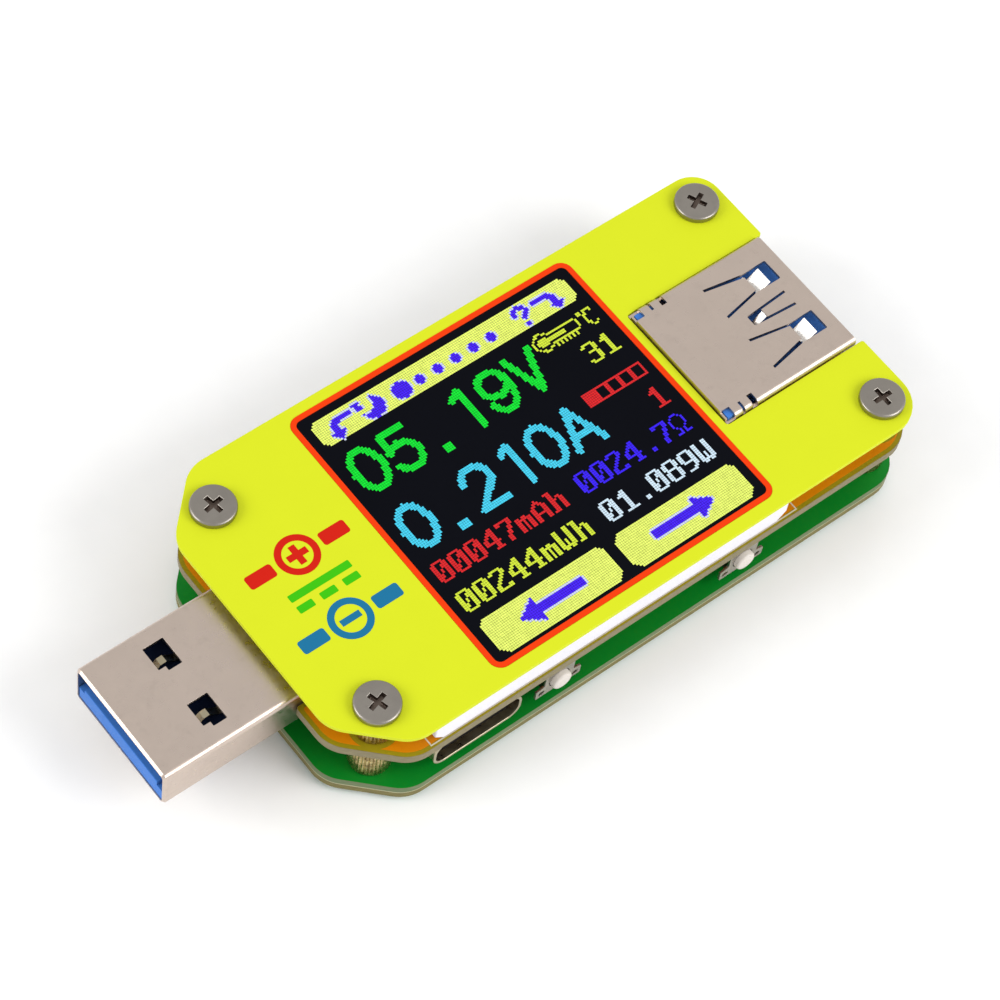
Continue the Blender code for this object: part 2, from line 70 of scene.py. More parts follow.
# The cover's window: distances from the plates' centre
BORDER_X, BORDER_Y = (-15.69, 13.67), (-14.02, 14.2)
BORDER_ROUND, BORDER_WIDTH = 1.08, 0.5
BORDER_RISE, PANE_DEPTH = 0.02, 0.02  # above and below the cover's top
PICTURE_X, PICTURE_Y = (-14.32, 12.32), (-13.2, 12.93)
PICTURE_SIZE = 128
PICTURE_DEPTH = 0.022  # of the pixels' back below the cover's top
PAD_FILL = (0.9, 0.88)  # of a pixel's pitch
MARKS_FROM_MIDDLE = 22.25  # of the printed marks, towards the plug

# The USB-A connectors
SHEET = 0.3
CONTACT_Y = (-3.5, -1.0, 1.0, 3.5)

# The Type-C ports, the buttons and the chips
PORT_CONTACTS = 12  # in a row
LONG_CONTACTS = (0, 3, 8, 11)
BUTTONS = (("front_button_1", -1), ("front_button_2", -1), ("back_button_1", 1), ("back_button_2", 1))
LEG_BENDS = ((-0.15, 0.6), (0.2, 0.6), (0.35, 0.09), (0.7, 0.09))  # out from the chip and down from the board
CHIP_LEGS = (  # chip, axis and side that the legs point to, their number, pitch and width
    *(("microcontroller", axis, side, 12, 0.5, 0.22) for axis in "YX" for side in SIDES),
    *(("sense_amplifier", "Y", side, 4, 1.27, 0.4) for side in SIDES),
    ("voltage_regulator", "Y", -1, 3, 2.3, 0.7),
    ("voltage_regulator", "Y", 1, 1, 1.0, 3.0),
)

# Corners of each side of a box, whose lower four come first
BOX_FACES = ((3, 2, 1, 0), (4, 5, 6, 7), (0, 1, 5, 4), (1, 2, 6, 5), (2, 3, 7, 6), (3, 0, 4, 7))


def mm_box(node):
    low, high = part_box(node)
    return low / MM, high / MM


COVER_LOW, COVER_HIGH = mm_box("top_cover")
BOARD_LOW, BOARD_HIGH = mm_box("main_board")
BOTTOM_LOW, BOTTOM_HIGH = mm_box("bottom_cover")
SOCKET_LOW, SOCKET_HIGH = mm_box("socket_shell")
PLUG_LOW, PLUG_HIGH = mm_box("plug_shell")
MIDDLE_X = (COVER_LOW.x + COVER_HIGH.x) / 2
COVER_TOP = COVER_HIGH.z


def centre_of(node):
    low, high = mm_box(node)
    return (low + high) / 2


SCREW_PLACES = [centre_of(f"top_screw_{index}").xy for index in range(1, 5)]

# ---------------------------------------------------------------------------------------------- materials


def linear(*colour):
    """A colour given as 0 to 255, as the shaders take it."""
    return tuple(c / 255 / 12.92 if c <= 10 else ((c / 255 + 0.055) / 1.055) ** 2.4 for c in colour)


def darker(colour, share):
    return tuple(c * share for c in colour)


class Graph:
    """Short names for the nodes that the materials share."""

    def __init__(self, name):
        self.material = bpy.data.materials.new(name)
        self.material.use_nodes = True
        self.nodes = self.material.node_tree.nodes
        self.links = self.material.node_tree.links
        self.shader = self.nodes["Principled BSDF"]
        self.coordinates = self.nodes.new("ShaderNodeTexCoord").outputs["Object"]

    def noise(self, size, detail=3.0, stretch=(1, 1, 1), roughness=0.5):
        """Noise whose lumps are about size mm across, and narrower along an axis by its stretch."""
        mapping = self.nodes.new("ShaderNodeMapping")
        mapping.inputs["Scale"].default_value = stretch
        self.links.new(self.coordinates, mapping.inputs["Vector"])
        node = self.nodes.new("ShaderNodeTexNoise")
        node.inputs["Scale"].default_value = 1 / (size * MM)
        node.inputs["Detail"].default_value = detail
        node.inputs["Roughness"].default_value = roughness
        self.links.new(mapping.outputs["Vector"], node.inputs["Vector"])
        return node.outputs["Fac"]

    def spread(self, value, low, high, start=0.3, end=0.7):
        node = self.nodes.new("ShaderNodeMapRange")
        for name, bound in (("From Min", start), ("From Max", end), ("To Min", low), ("To Max", high)):
            node.inputs[name].default_value = bound
        self.links.new(value, node.inputs["Value"])
        return node.outputs["Result"]

    def blend(self, factor, first, second):
        """A colour from first to second; each is a colour or a socket."""
        node = self.nodes.new("ShaderNodeMix")
        node.data_type = "RGBA"
        self.links.new(factor, node.inputs["Factor"])
        for socket, colour in ((node.inputs["A"], first), (node.inputs["B"], second)):
            if isinstance(colour, tuple):
                socket.default_value = (*colour, 1)
            else:
                self.links.new(colour, socket)
        return node.outputs["Result"]

    def patches(self, value, colour, low, high):
        """The colour, from low to high times as bright as value rises."""
        return self.blend(self.spread(value, 0, 1), darker(colour, low), darker(colour, high))

    def bump(self, height, depth):
        """Bumps depth mm high."""
        node = self.nodes.new("ShaderNodeBump")
        node.inputs["Strength"].default_value = 1.0
        node.inputs["Distance"].default_value = depth * MM
        self.links.new(height, node.inputs["Height"])
        return node.outputs["Normal"]

    def made(self, **values):
        """The material, with these values or sockets on its shader."""
        for name, value in values.items():
            socket = self.shader.inputs[name.replace("_", " ")]
            if isinstance(value, bpy.types.NodeSocket):
                self.links.new(value, socket)
            else:
                socket.default_value = value
        return self.material


def plain_look(name, colour, rough, grain, depth, vary, shine=0.5):
    """Moulded or printed surface: colour in soft patches, grain in the surface and in its gloss."""
    graph = Graph(name)
    fine = graph.noise(grain, 2)
    shade = graph.patches(graph.noise(grain * 22, 4), colour, 1 - vary, 1 + vary)
    return graph.made(
        Base_Color=graph.blend(graph.spread(fine, 0, 0.35), shade, darker(colour, 1 - 2 * vary)),
        Roughness=graph.spread(graph.noise(grain * 8), rough - 0.05, rough + 0.05),
        Normal=graph.bump(fine, depth),
        Specular_IOR_Level=shine,
    )


def board_edge_look(name, colour, dark):
    """Glass-fibre board seen from its side: thin woven layers."""
    graph = Graph(name)
    layers = graph.noise(0.9, 2, (1, 1, 9))
    weave = graph.noise(0.12, 2, (1, 1, 2))
    shade = graph.blend(graph.spread(layers, 0, 1), dark, colour)
    return graph.made(
        Base_Color=graph.blend(graph.spread(weave, 0, 0.4), shade, darker(colour, 1.25)),
        Roughness=graph.spread(weave, 0.55, 0.75),
        Normal=graph.bump(layers, 0.01),
    )


def metal_look(name, colour, rough, brushed=(1, 1, 1), vary=0.06, depth=0.0012):
    """Plated or turned metal with faint brushing, clouded gloss and small stains."""
    graph = Graph(name)
    shade = graph.patches(graph.noise(2.4, 4), colour, 1 - vary, 1 + vary)
    stains = graph.spread(graph.noise(0.9, 2), 0, 0.3, 0.58, 0.8)
    return graph.made(
        Base_Color=graph.blend(stains, shade, darker(colour, 0.75)),
        Roughness=graph.spread(graph.noise(0.5, 4), rough - 0.06, rough + 0.08),
        Normal=graph.bump(graph.noise(0.08, 3, brushed), depth),
        Metallic=1.0,
    )


def glow_look(name, colour):
    """Lit liquid-crystal pixels, a little uneven from one to the next."""
    graph = Graph(name)
    uneven = graph.noise(0.35)
    return graph.made(
        Emission_Color=graph.patches(uneven, colour, 0.9, 1.06),
        Base_Color=graph.patches(uneven, colour, 0.03, 0.06),
        Emission_Strength=1.0,
        Roughness=graph.spread(uneven, 0.4, 0.6),
        Specular_IOR_Level=0.05,
    )


def brass_look(name):
    """Machined brass, mottled from handling."""
    graph = Graph(name)
    mottle = graph.spread(graph.noise(0.55, 5, roughness=0.65), 0, 1)
    return graph.made(
        Base_Color=graph.blend(mottle, linear(112, 86, 40), linear(222, 202, 146)),
        Roughness=graph.spread(graph.noise(0.3, 4), 0.18, 0.42),
        Normal=graph.bump(graph.noise(0.12, 3, (1, 1, 0.4)), 0.012),
        Metallic=1.0,
    )


def tape_look(name):
    """Polyimide tape with the copper tracks showing through it."""
    graph = Graph(name)
    wave = graph.nodes.new("ShaderNodeTexWave")
    wave.bands_direction = "Y"
    wave.inputs["Scale"].default_value = 320
    wave.inputs["Distortion"].default_value = 0.0
    graph.links.new(graph.coordinates, wave.inputs["Vector"])
    tracks = graph.spread(wave.outputs["Fac"], 0, 1, 0.45, 0.55)
    return graph.made(
        Base_Color=graph.blend(tracks, linear(120, 66, 18), linear(196, 122, 50)),
        Roughness=graph.spread(graph.noise(0.6), 0.28, 0.42),
        Normal=graph.bump(tracks, 0.01),
    )


PRINTED = (0.5, 0.1, 0.0012, 0.02, 0.1)
PLAIN = {  # colour, roughness, size of the grain, its depth, how much the colour varies, gloss
    "cover_yellow": ((206, 216, 31), 0.5, 0.12, 0.0012, 0.008, 0.12),
    "border_red": ((229, 58, 2), 0.5, 0.12, 0.0012, 0.015, 0.1),
    "window_black": ((12, 13, 19), 0.4, 0.5, 0.0004, 0.08, 0.02),
    "print_red": ((198, 28, 12), *PRINTED),
    "print_green": ((58, 184, 8), *PRINTED),
    "print_blue": ((26, 109, 150), *PRINTED),
    "frame_white": ((230, 228, 235), 0.5, 0.2, 0.003, 0.02, 0.3),
    "mask_olive": ((150, 134, 20), 0.4, 0.3, 0.004, 0.05, 0.2),
    "mask_orange": ((214, 128, 4), 0.4, 0.3, 0.004, 0.04, 0.2),
    "mask_green": ((2, 130, 36), 0.4, 0.3, 0.004, 0.05, 0.2),
    # the pale line along the bottom cover's side: a painted highlight
    "mask_pale": ((186, 184, 148), 0.5, 0.2, 0.003, 0.05),
    "silk": ((214, 206, 190), 0.6, 0.1, 0.003, 0.03),
    # black plastic darkened further as painted shade inside the Type-C ports
    "dark_inside": ((15, 10, 10), 0.7, 0.3, 0.001, 0.1, 0.05),
    # painted shade: dark navy for the shaded inside of the plug under its windows
    "dark_navy": ((22, 34, 62), 0.6, 0.3, 0.002, 0.1, 0.1),
    "blue_plastic": ((64, 121, 203), 0.5, 0.25, 0.006, 0.05, 0.15),
    "black_plastic": ((26, 26, 28), 0.5, 0.2, 0.006, 0.12),
    "plunger_white": ((218, 210, 202), 0.42, 0.3, 0.004, 0.04),
    "ceramic": ((148, 120, 88), 0.55, 0.15, 0.006, 0.08),
}
METAL = {  # colour, roughness, stretch of the brushing, how much the colour varies, depth of the brushing
    "screw_steel": ((152, 146, 138), 0.34, (1, 6, 1)),
    # a darker steel for the screws' cross recesses: painted shade where shade falls in the recess
    "recess_steel": ((104, 92, 84), 0.4),
    "nickel": ((207, 191, 179), 0.32, (1, 9, 9), 0.02, 0.0008),
    "bright_steel": ((240, 237, 233), 0.3, (3, 1, 1)),
    "bracket_grey": ((168, 163, 152), 0.4, (3, 1, 1)),
    "spring_beige": ((176, 166, 140), 0.32, (3, 1, 1)),
    "gold": ((226, 184, 104), 0.24, (1, 5, 1)),
    "solder": ((200, 200, 204), 0.3, (1, 1, 1), 0.08, 0.004),
}
BOARD_EDGE = {  # light and dark layers
    "board_core": ((134, 124, 94), (108, 98, 68)),
    "bottom_core": ((122, 114, 60), (94, 86, 44)),
    "bottom_upper": ((108, 122, 84), (84, 100, 62)),
}
LIT = {
    "lit_lime": (240, 255, 118),
    "lit_violet": (76, 40, 250),
    "lit_pale": (214, 222, 250),
    "lit_green": (24, 232, 58),
    "lit_cyan": (76, 214, 246),
    "lit_red": (224, 44, 48),
    "lit_blue": (64, 40, 250),
    "lit_olive": (218, 238, 66),
    "lit_white": (214, 236, 252),
}
LOOKS = {"tape": tape_look("tape"), "brass": brass_look("brass")}
for make_look, table in ((plain_look, PLAIN), (metal_look, METAL)):
    LOOKS |= {name: make_look(name, linear(*colour), *rest) for name, (colour, *rest) in table.items()}
LOOKS |= {name: board_edge_look(name, *(linear(*colour) for colour in pair)) for name, pair in BOARD_EDGE.items()}
LOOKS |= {name: glow_look(name, linear(*colour)) for name, colour in LIT.items()}

# ------------------------------------------------------------------------------------------------ shapes


def rounded(corners, steps=8):
    """The outline through corners (x, y, radius), each rounded by its radius."""
    points = []
    for i, (x, y, radius) in enumerate(corners):
        corner = Vector((x, y))
        before = (Vector(corners[i - 1][:2]) - corner).normalized()
        after = (Vector(corners[(i + 1) % len(corners)][:2]) - corner).normalized()
        if not radius:
            points.append(tuple(corner))
            continue
        half = before.angle(after) / 2
        centre = corner + (before + after).normalized() * radius / math.sin(half)
        start = corner + before * radius / math.tan(half) - centre
        sweep = math.copysign(math.pi - 2 * half, before.x * after.y - before.y * after.x)
        for step in range(steps + 1):
            points.append(tuple(centre + Matrix.Rotation(-sweep * step / steps, 2) @ start))
    return points


def rectangle(x, y, radius=0.0, inset=0.0):
    """An outline between the two x and the two y, drawn in by inset."""
    left, right, low, high = x[0] + inset, x[1] - inset, y[0] + inset, y[1] - inset
    return rounded([(left, low, radius), (right, low, radius), (right, high, radius), (left, high, radius)], 6)


def shifted(span, by):
    return tuple(value + by for value in span)


def around(middle, half):
    return middle - half, middle + half


def through(low, high):
    return low - PAST, high + PAST


def circle(radius, centre, steps=40):
    turns = (2 * math.pi * i / steps for i in range(steps))
    return [(centre[0] + radius * math.cos(a), centre[1] + radius * math.sin(a)) for a in turns]


TURNED = {  # puts a shape drawn in XY and thickened along Z onto another axis
    "X": Matrix(((0, 0, 1, 0), (1, 0, 0, 0), (0, 1, 0, 0), (0, 0, 0, 1))),
    "Y": Matrix(((1, 0, 0, 0), (0, 0, -1, 0), (0, 1, 0, 0), (0, 0, 0, 1))),
    "Z": Matrix.Identity(4),
}


def new_object(name, mesh):
    obj = bpy.data.objects.new(name, mesh)
    bpy.context.scene.collection.objects.link(obj)
    return obj


def mesh_from(shape, name):
    bmesh.ops.recalc_face_normals(shape, faces=shape.faces)
    mesh = bpy.data.meshes.new(name)
    shape.to_mesh(mesh)
    shape.free()
    return mesh


def evaluated_mesh(obj):
    bpy.context.view_layer.update()
    return bpy.data.meshes.new_from_object(obj.evaluated_get(bpy.context.evaluated_depsgraph_get()))


def apply_modifiers(obj):
    obj.data = evaluated_mesh(obj)
    obj.modifiers.clear()
    return obj


def solid(name, loops, span, axis="Z", edge=0.0, rounds=1):
    """A flat outline with holes, drawn out from span[0] to span[1] along axis, its rims rounded by edge.
    Outlines are (x, y) along Z, (y, z) along X and (x, z) along Y."""
    curve = bpy.data.curves.new(name, "CURVE")
    curve.dimensions = "2D"
    curve.fill_mode = "BOTH"
    curve.extrude = (span[1] - span[0]) * MM / 2 - edge * MM
    curve.bevel_depth = edge * MM
    curve.bevel_resolution = rounds
    curve.offset = -edge * MM
    for loop in loops:
        spline = curve.splines.new("POLY")
        spline.points.add(len(loop) - 1)
        for point, (x, y) in zip(spline.points, loop):
            point.co = (x * MM, y * MM, 0, 1)
        spline.use_cyclic_u = True
    drawn = new_object(name, curve)
    mesh = evaluated_mesh(drawn)
    bpy.data.objects.remove(drawn)
    offset = [0, 0, 0]
    offset["XYZ".index(axis)] = (span[0] + span[1]) / 2 * MM
    mesh.transform(Matrix.Translation(offset) @ TURNED[axis])
    shape = bmesh.new()
    shape.from_mesh(mesh)
    bmesh.ops.remove_doubles(shape, verts=shape.verts, dist=0.0004 * MM)
    return new_object(name, mesh_from(shape, name))


def block(name, low, high, edge=0.05, rounds=2):
    """A box with rounded edges."""
    shape = bmesh.new()
    bmesh.ops.create_cube(shape, size=1)
    low, high = Vector(low) * MM, Vector(high) * MM
    for vert in shape.verts:
        vert.co = Vector(l + (c + 0.5) * (h - l) for l, c, h in zip(low, vert.co, high))
    if edge:
        bmesh.ops.bevel(shape, geom=shape.edges, offset=edge * MM, segments=rounds, profile=0.5, affect="EDGES")
    return new_object(name, mesh_from(shape, name))


def lathe(name, profile, place, steps, axis="Z", teeth=None):
    """Turns profile (radius, height) about axis at place. A profile that starts and ends on the axis closes there;
    any other closes into a ring. teeth(index, turn) gives a factor on the radius."""
    shape = bmesh.new()
    rings = []
    for index, (radius, height) in enumerate(profile):
        ring = []
        for step in range(steps if radius else 1):
            turn = 2 * math.pi * step / steps
            reach = radius * (teeth(index, step) if teeth else 1) * MM
            ring.append(shape.verts.new((reach * math.cos(turn), reach * math.sin(turn), height * MM)))
        rings.append(ring)
    pairs = list(zip(rings, rings[1:]))
    if profile[0][0]:
        pairs.append((rings[-1], rings[0]))
    for lower, upper in pairs:
        for step in range(steps):
            after = (step + 1) % steps
            if len(lower) == 1:
                shape.faces.new((lower[0], upper[step], upper[after]))
            elif len(upper) == 1:
                shape.faces.new((lower[step], lower[after], upper[0]))
            else:
                shape.faces.new((lower[step], lower[after], upper[after], upper[step]))
    bmesh.ops.transform(shape, matrix=Matrix.Translation(Vector(place) * MM) @ TURNED[axis], verts=shape.verts)
    return new_object(name, mesh_from(shape, name))


def strip(name, path, width, thickness, middle, along="X", edge=0.02):
    """A bent metal strip: path is (x, z) along X, or (y, z) along Y, and middle its other coordinate."""
    points = [Vector(p) for p in path]
    sides = []
    for i in range(len(points)):
        ahead = points[min(i + 1, len(points) - 1)] - points[max(i - 1, 0)]
        sides.append(Vector((-ahead.y, ahead.x)).normalized() * thickness / 2)
    loop = [tuple(p + side) for p, side in zip(points, sides)]
    loop += [tuple(p - side) for p, side in zip(points, sides)][::-1]
    return solid(name, [loop], around(middle, width / 2), "Y" if along == "X" else "X", edge)


def cut(obj, *cutters, operation="DIFFERENCE"):
    """Cuts, or with UNION adds, the cutters, which are used up."""
    for cutter in cutters:
        modifier = obj.modifiers.new("cut", "BOOLEAN")
        modifier.operation = operation
        modifier.solver = "EXACT"
        modifier.object = cutter
    apply_modifiers(obj)
    for cutter in cutters:
        bpy.data.objects.remove(cutter)
    return obj


def break_edges(obj, width, angle, rounds=1):
    """Rounds every edge sharper than angle."""
    modifier = obj.modifiers.new("edges", "BEVEL")
    modifier.width = width * MM
    modifier.segments = rounds
    modifier.limit_method = "ANGLE"
    modifier.angle_limit = math.radians(angle)
    modifier.use_clamp_overlap = True
    return apply_modifiers(obj)


def merged(name, objects):
    """Loose pieces as one object."""
    shape = bmesh.new()
    for obj in objects:
        shape.from_mesh(obj.data)
        bpy.data.objects.remove(obj)
    return new_object(name, mesh_from(shape, name))


def show(obj, look, nodes=(), body=BODY, smooth=35, recess=None):
    """Gives a finished piece its material, its body and the CAD nodes that it stands for. recess is a
    second look and a test for the faces that wear it; the screws use it to give their cross recesses painted shade."""
    obj.data.materials.clear()
    obj.data.materials.append(LOOKS[look])
    if recess:
        obj.data.materials.append(LOOKS[recess[0]])
        for face in obj.data.polygons:
            face.material_index = int(recess[1](face.center / MM))
    if smooth:
        obj.data.shade_smooth()
        obj.data.set_sharp_from_angle(angle=math.radians(smooth))
        modifier = obj.modifiers.new("normals", "WEIGHTED_NORMAL")
        modifier.keep_sharp = True
        modifier.weight = 100
        apply_modifiers(obj)
    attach(obj, body)
    if nodes:
        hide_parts(*nodes)


# ------------------------------------------------------------------------------- cover, window and screen


def plate_ends(inset=0.0, shorter=0.0):
    """Corners of the plates' plug end and socket end, drawn in by inset and each end shorter by shorter."""
    left, right = COVER_LOW.x + shorter + inset, COVER_HIGH.x - shorter - inset
    edge = COVER_HIGH.y - inset
    chamfer = CHAMFER - inset * (2 - math.sqrt(2))
    turn, front, back = (max(r - inset, SMALLEST_ROUND) for r in (CHAMFER_ROUND, *SOCKET_END_ROUNDS))
    plug_end = [
        (left + chamfer, edge, turn),
        (left, edge - chamfer, turn),
        (left, chamfer - edge, turn),
        (left + chamfer, -edge, turn),
    ]
    return plug_end, [(right, -edge, front), (right, edge, back)]


def notch(edge_x, inner_x, half_width):
    return [
        (edge_x, -half_width, NOTCH_TIP),
        (inner_x, -half_width, NOTCH_CORNER),
        (inner_x, half_width, NOTCH_CORNER),
        (edge_x, half_width, NOTCH_TIP),
    ]


def covered_outline():
    plug_end, (front, back) = plate_ends()
    socket_notch = notch(COVER_HIGH.x, SOCKET_LOW.x - COVER_SPACE, SOCKET_HIGH.y + COVER_SPACE)
    return rounded(plug_end + [front, *socket_notch, back])


def carved_outline(inset=0.0):
    plug_end, (front, back) = plate_ends(inset, BOARD_INSET)
    space, end = CUT_SPACE + inset, BOARD_INSET + inset
    socket_notch = notch(COVER_HIGH.x - end, SOCKET_LOW.x - space, SOCKET_HIGH.y + space)
    plug_notch = notch(COVER_LOW.x + end, PLUG_HIGH.x + space, PLUG_HIGH.y + PLUG_SPACE + inset)[::-1]
    return rounded([*plug_end[:2], *plug_notch, *plug_end[2:], front, *socket_notch, back])


def screw_holes(radius=HOLE_RADIUS):
    return [circle(radius, place) for place in SCREW_PLACES]


def make_cover():
    x, y = shifted(BORDER_X, MIDDLE_X), BORDER_Y
    opening = rectangle(x, y, BORDER_ROUND)
    z = (COVER_LOW.z, COVER_TOP)
    cover = solid("cover_sheet", [covered_outline(), opening, *screw_holes()], z, edge=0.05)
    show(cover, "cover_yellow", ["top_cover"], smooth=21)
    inner_round = BORDER_ROUND - BORDER_WIDTH
    outside = rectangle(x, y, BORDER_ROUND - SNUG, SNUG)
    inside = rectangle(x, y, inner_round, BORDER_WIDTH)
    border = solid("window_border", [outside, inside], (COVER_LOW.z, COVER_TOP + BORDER_RISE), edge=0.015)
    show(border, "border_red", smooth=21)
    pane = rectangle(x, y, inner_round, BORDER_WIDTH + SNUG)
    window = solid("window_pane", [pane], (COVER_LOW.z + 0.03, COVER_TOP - PANE_DEPTH), edge=0.01)
    show(window, "window_black", smooth=21)


GLYPHS = {  # the small characters: each row is seven pixels wide
    "0": ".#####. ##...## ##..### ##..### ##.#.## ##.#.## ###..## ###..## ##...## .#####.",
    "1": "...##.. ..###.. .####.. ...##.. ...##.. ...##.. ...##.. ...##.. ...##.. .######",
    "2": ".#####. ##...## .....## ....##. ...##.. ..##... .##.... ##..... ##...## #######",
    "3": ".#####. ##...## .....## .....## ..####. .....## .....## .....## ##...## .#####.",
    "4": "....##. ...###. ..####. .##.##. ##..##. ##..##. ####### ....##. ....##. ...####",
    "7": "####### ##...## .....## ....##. ....##. ...##.. ...##.. ..##... ..##... ..##...",
    "8": ".#####. ##...## ##...## ##...## .#####. ##...## ##...## ##...## ##...## .#####.",
    "9": ".#####. ##...## ##...## ##...## ##...## .###### .....## .....## ....##. .####..",
    "m": "....... ....... ....... ##.##.. ####### ##.#.## ##.#.## ##.#.## ##.#.## ##.#.##",
    "h": "###.... .##.... .##.... .##.##. .###.## .##..## .##..## .##..## .##..## ###..##",
    "A": "...#... ..###.. .##.##. ##...## ##...## ##...## ####### ##...## ##...## ##...##",
    "W": "##...## ##...## ##...## ##...## ##...## ##.#.## ##.#.## ##.#.## ####### .##.##.",
    "O": "..###.. .#...#. #.....# #.....# #.....# #.....# .#...#. ..#.#.. ..#.#.. ###.###",
    ".": "....... ....... ....... ....... ....... ....... ....... ....... ...##.. ...##..",
}

READINGS = (  # characters, colour, first column and first row; O stands for the ohm sign
    ("00047mAh", "lit_red", 0, 79),
    ("0024.7O", "lit_blue", 71, 79),
    ("00244mWh", "lit_olive", 0, 95),
    ("01.089W", "lit_white", 71, 95),
    ("31", "lit_olive", 112, 32.4),
    ("1", "lit_red", 119.6, 64.2),
)
GLYPH_PITCH = 8

# Strokes of the large characters, in pixels of a cell 16 wide and 23 high: a line is its points, and an arc is
# (centre x, centre y, radius x, radius y, first angle, last angle), with angles turning clockwise
LARGE = {
    "0": [(8.7, 11.5, 6.1, 9.8, 0, 360)],
    "1": [((10.7, 21.2), (10.7, 1.9)), ((10.2, 2.6), (6.6, 4.8))],
    "2": [(8.4, 7.9, 6.1, 6.1, 185, 385), ((13.9, 10.6), (2.9, 20.6)), ((2.6, 21.4), (14.2, 21.4))],
    "5": [((14.2, 1.9), (4.5, 1.9), (3.5, 10.8)), (8.7, 14.9, 6.1, 6.4, 215, 515)],
    "9": [(8.8, 7.7, 6.1, 5.9, 0, 360), (8.8, 11.5, 6.1, 9.8, -25, 150)],
    "V": [((2.9, 1.9), (8.9, 20.9), (15.0, 1.9))],
    "A": [((2.3, 21.2), (8.7, 2.2), (15.2, 21.2)), ((4.6, 15.4), (13.0, 15.4))],
}
LARGE_STROKE = 3.1
LARGE_LEFT = -0.6  # how far the strokes sit from their cell's first column
LARGE_READINGS = (
    ("lit_green", 18.5, (("0", 0), ("5", 16), ("1", 48), ("9", 64), ("V", 80))),
    ("lit_cyan", 50.3, (("0", 0), ("2", 32), ("1", 48), ("0", 64), ("A", 80))),
)
ARC_STEPS = 36
BULB = (101.8, 22)  # centre of the thermometer's bulb
KEY_CORNER = 3  # cut off the lit bar's and soft keys' corners


class Picture:
    """The display's pixels, each with the name of its look."""

    def __init__(self):
        self.pixels = {}

    def fill(self, look, inside, columns=(0, PICTURE_SIZE), rows=(0, PICTURE_SIZE)):
        """Lights every pixel whose centre is inside the shape."""
        for row in range(max(int(rows[0]), 0), min(math.ceil(rows[1]), PICTURE_SIZE)):
            for column in range(max(int(columns[0]), 0), min(math.ceil(columns[1]), PICTURE_SIZE)):
                if inside(column + 0.5, row + 0.5):
                    self.pixels[column, row] = look

    def icon(self, inside, columns, rows):
        """A violet shape with a paler fringe one pixel wide."""
        steps = (-0.9, 0, 0.9)
        self.fill(
            "lit_pale",
            lambda x, y: any(inside(x + i, y + j) for i in steps for j in steps if i == 0 or j == 0),
            (columns[0] - 2, columns[1] + 2),
            (rows[0] - 2, rows[1] + 2),
        )
        self.fill("lit_violet", inside, columns, rows)


def near_line(points, reach):
    """Whether a point lies within reach of a line through points."""
    ends = [(Vector(a), Vector(b)) for a, b in zip(points, points[1:])]

    def inside(x, y):
        for a, b in ends:
            along = b - a
            share = min(max((Vector((x, y)) - a).dot(along) / along.length_squared, 0), 1)
            if (Vector((x, y)) - a - along * share).length <= reach:
                return True
        return False

    return inside


def stroke_points(stroke):
    if isinstance(stroke[0], tuple):
        return stroke
    x, y, radius_x, radius_y, first, last = stroke
    turns = [math.radians(first + (last - first) * i / ARC_STEPS) for i in range(ARC_STEPS + 1)]
    return [(x + radius_x * math.cos(a), y + radius_y * math.sin(a)) for a in turns]


def moved(points, x, y):
    return [(px + x, py + y) for px, py in points]


def in_polygon(*corners):
    def inside(x, y):
        odd = False
        for (ax, ay), (bx, by) in zip(corners, corners[1:] + corners[:1]):
            if (ay > y) != (by > y) and x < ax + (y - ay) * (bx - ax) / (by - ay):
                odd = not odd
        return odd

    return inside


def either(*tests):
    return lambda x, y: any(test(x, y) for test in tests)


def without(test, hole):
    return lambda x, y: test(x, y) and not hole(x, y)


def cut_corners(left, right, top, bottom, corner=0):
    """A rectangle with its corners cut off, as a test."""

    def inside(x, y):
        if not (left <= x <= right and top <= y <= bottom):
            return False
        return min(x - left, right - x) + min(y - top, bottom - y) >= corner

    return inside


def disc(x, y, radius):
    return lambda px, py: math.hypot(px - x, py - y) <= radius


def draw_bar(picture):
    """The bar along the top: page arrows, a sleep sign, one dot for each page, and a help sign."""
    picture.fill("lit_lime", cut_corners(0, PICTURE_SIZE, 0, 13.4, KEY_CORNER))
    bend, head = [(17, 3.9), (11.4, 3.9), (8.8, 5.6), (8.6, 9)], [(4.6, 8.6), (12.4, 8.6), (8.5, 12.8)]
    back = either(near_line(bend, 1.4), in_polygon(*head))
    bend, head = [(110.4, 3.9), (115.8, 3.9), (118.6, 5.6), (118.8, 9)], [(114.9, 8.6), (122.7, 8.6), (118.8, 12.8)]
    forward = either(near_line(bend, 1.4), in_polygon(*head))
    moon = without(disc(26.4, 7.2, 5.4), disc(23.4, 4.2, 4.7))
    sleep = near_line([(19.6, 2.4), (22.2, 2.4), (19.8, 5), (22.4, 5)], 0.55)
    hook = [(100.0, 5.2), (100.6, 3.3), (102.6, 2.3), (105.0, 2.9), (105.9, 4.8), (104.4, 6.4), (103.4, 7.6)]
    help_sign = either(near_line(hook, 1.0), cut_corners(102.3, 104.3, 10.5, 12.4))
    for inside, columns in (
        (back, (4, 18)),
        (either(sleep, moon), (18, 33)),
        (disc(41, 7.5, 4.1), (36, 46)),
        (help_sign, (98, 108)),
        (forward, (109, 124)),
    ):
        picture.icon(inside, columns, (1, 13))
    for column in (50, 59, 68, 77, 86):
        picture.icon(disc(column, 7.5, 2.1), (column - 3, column + 3), (4, 11))


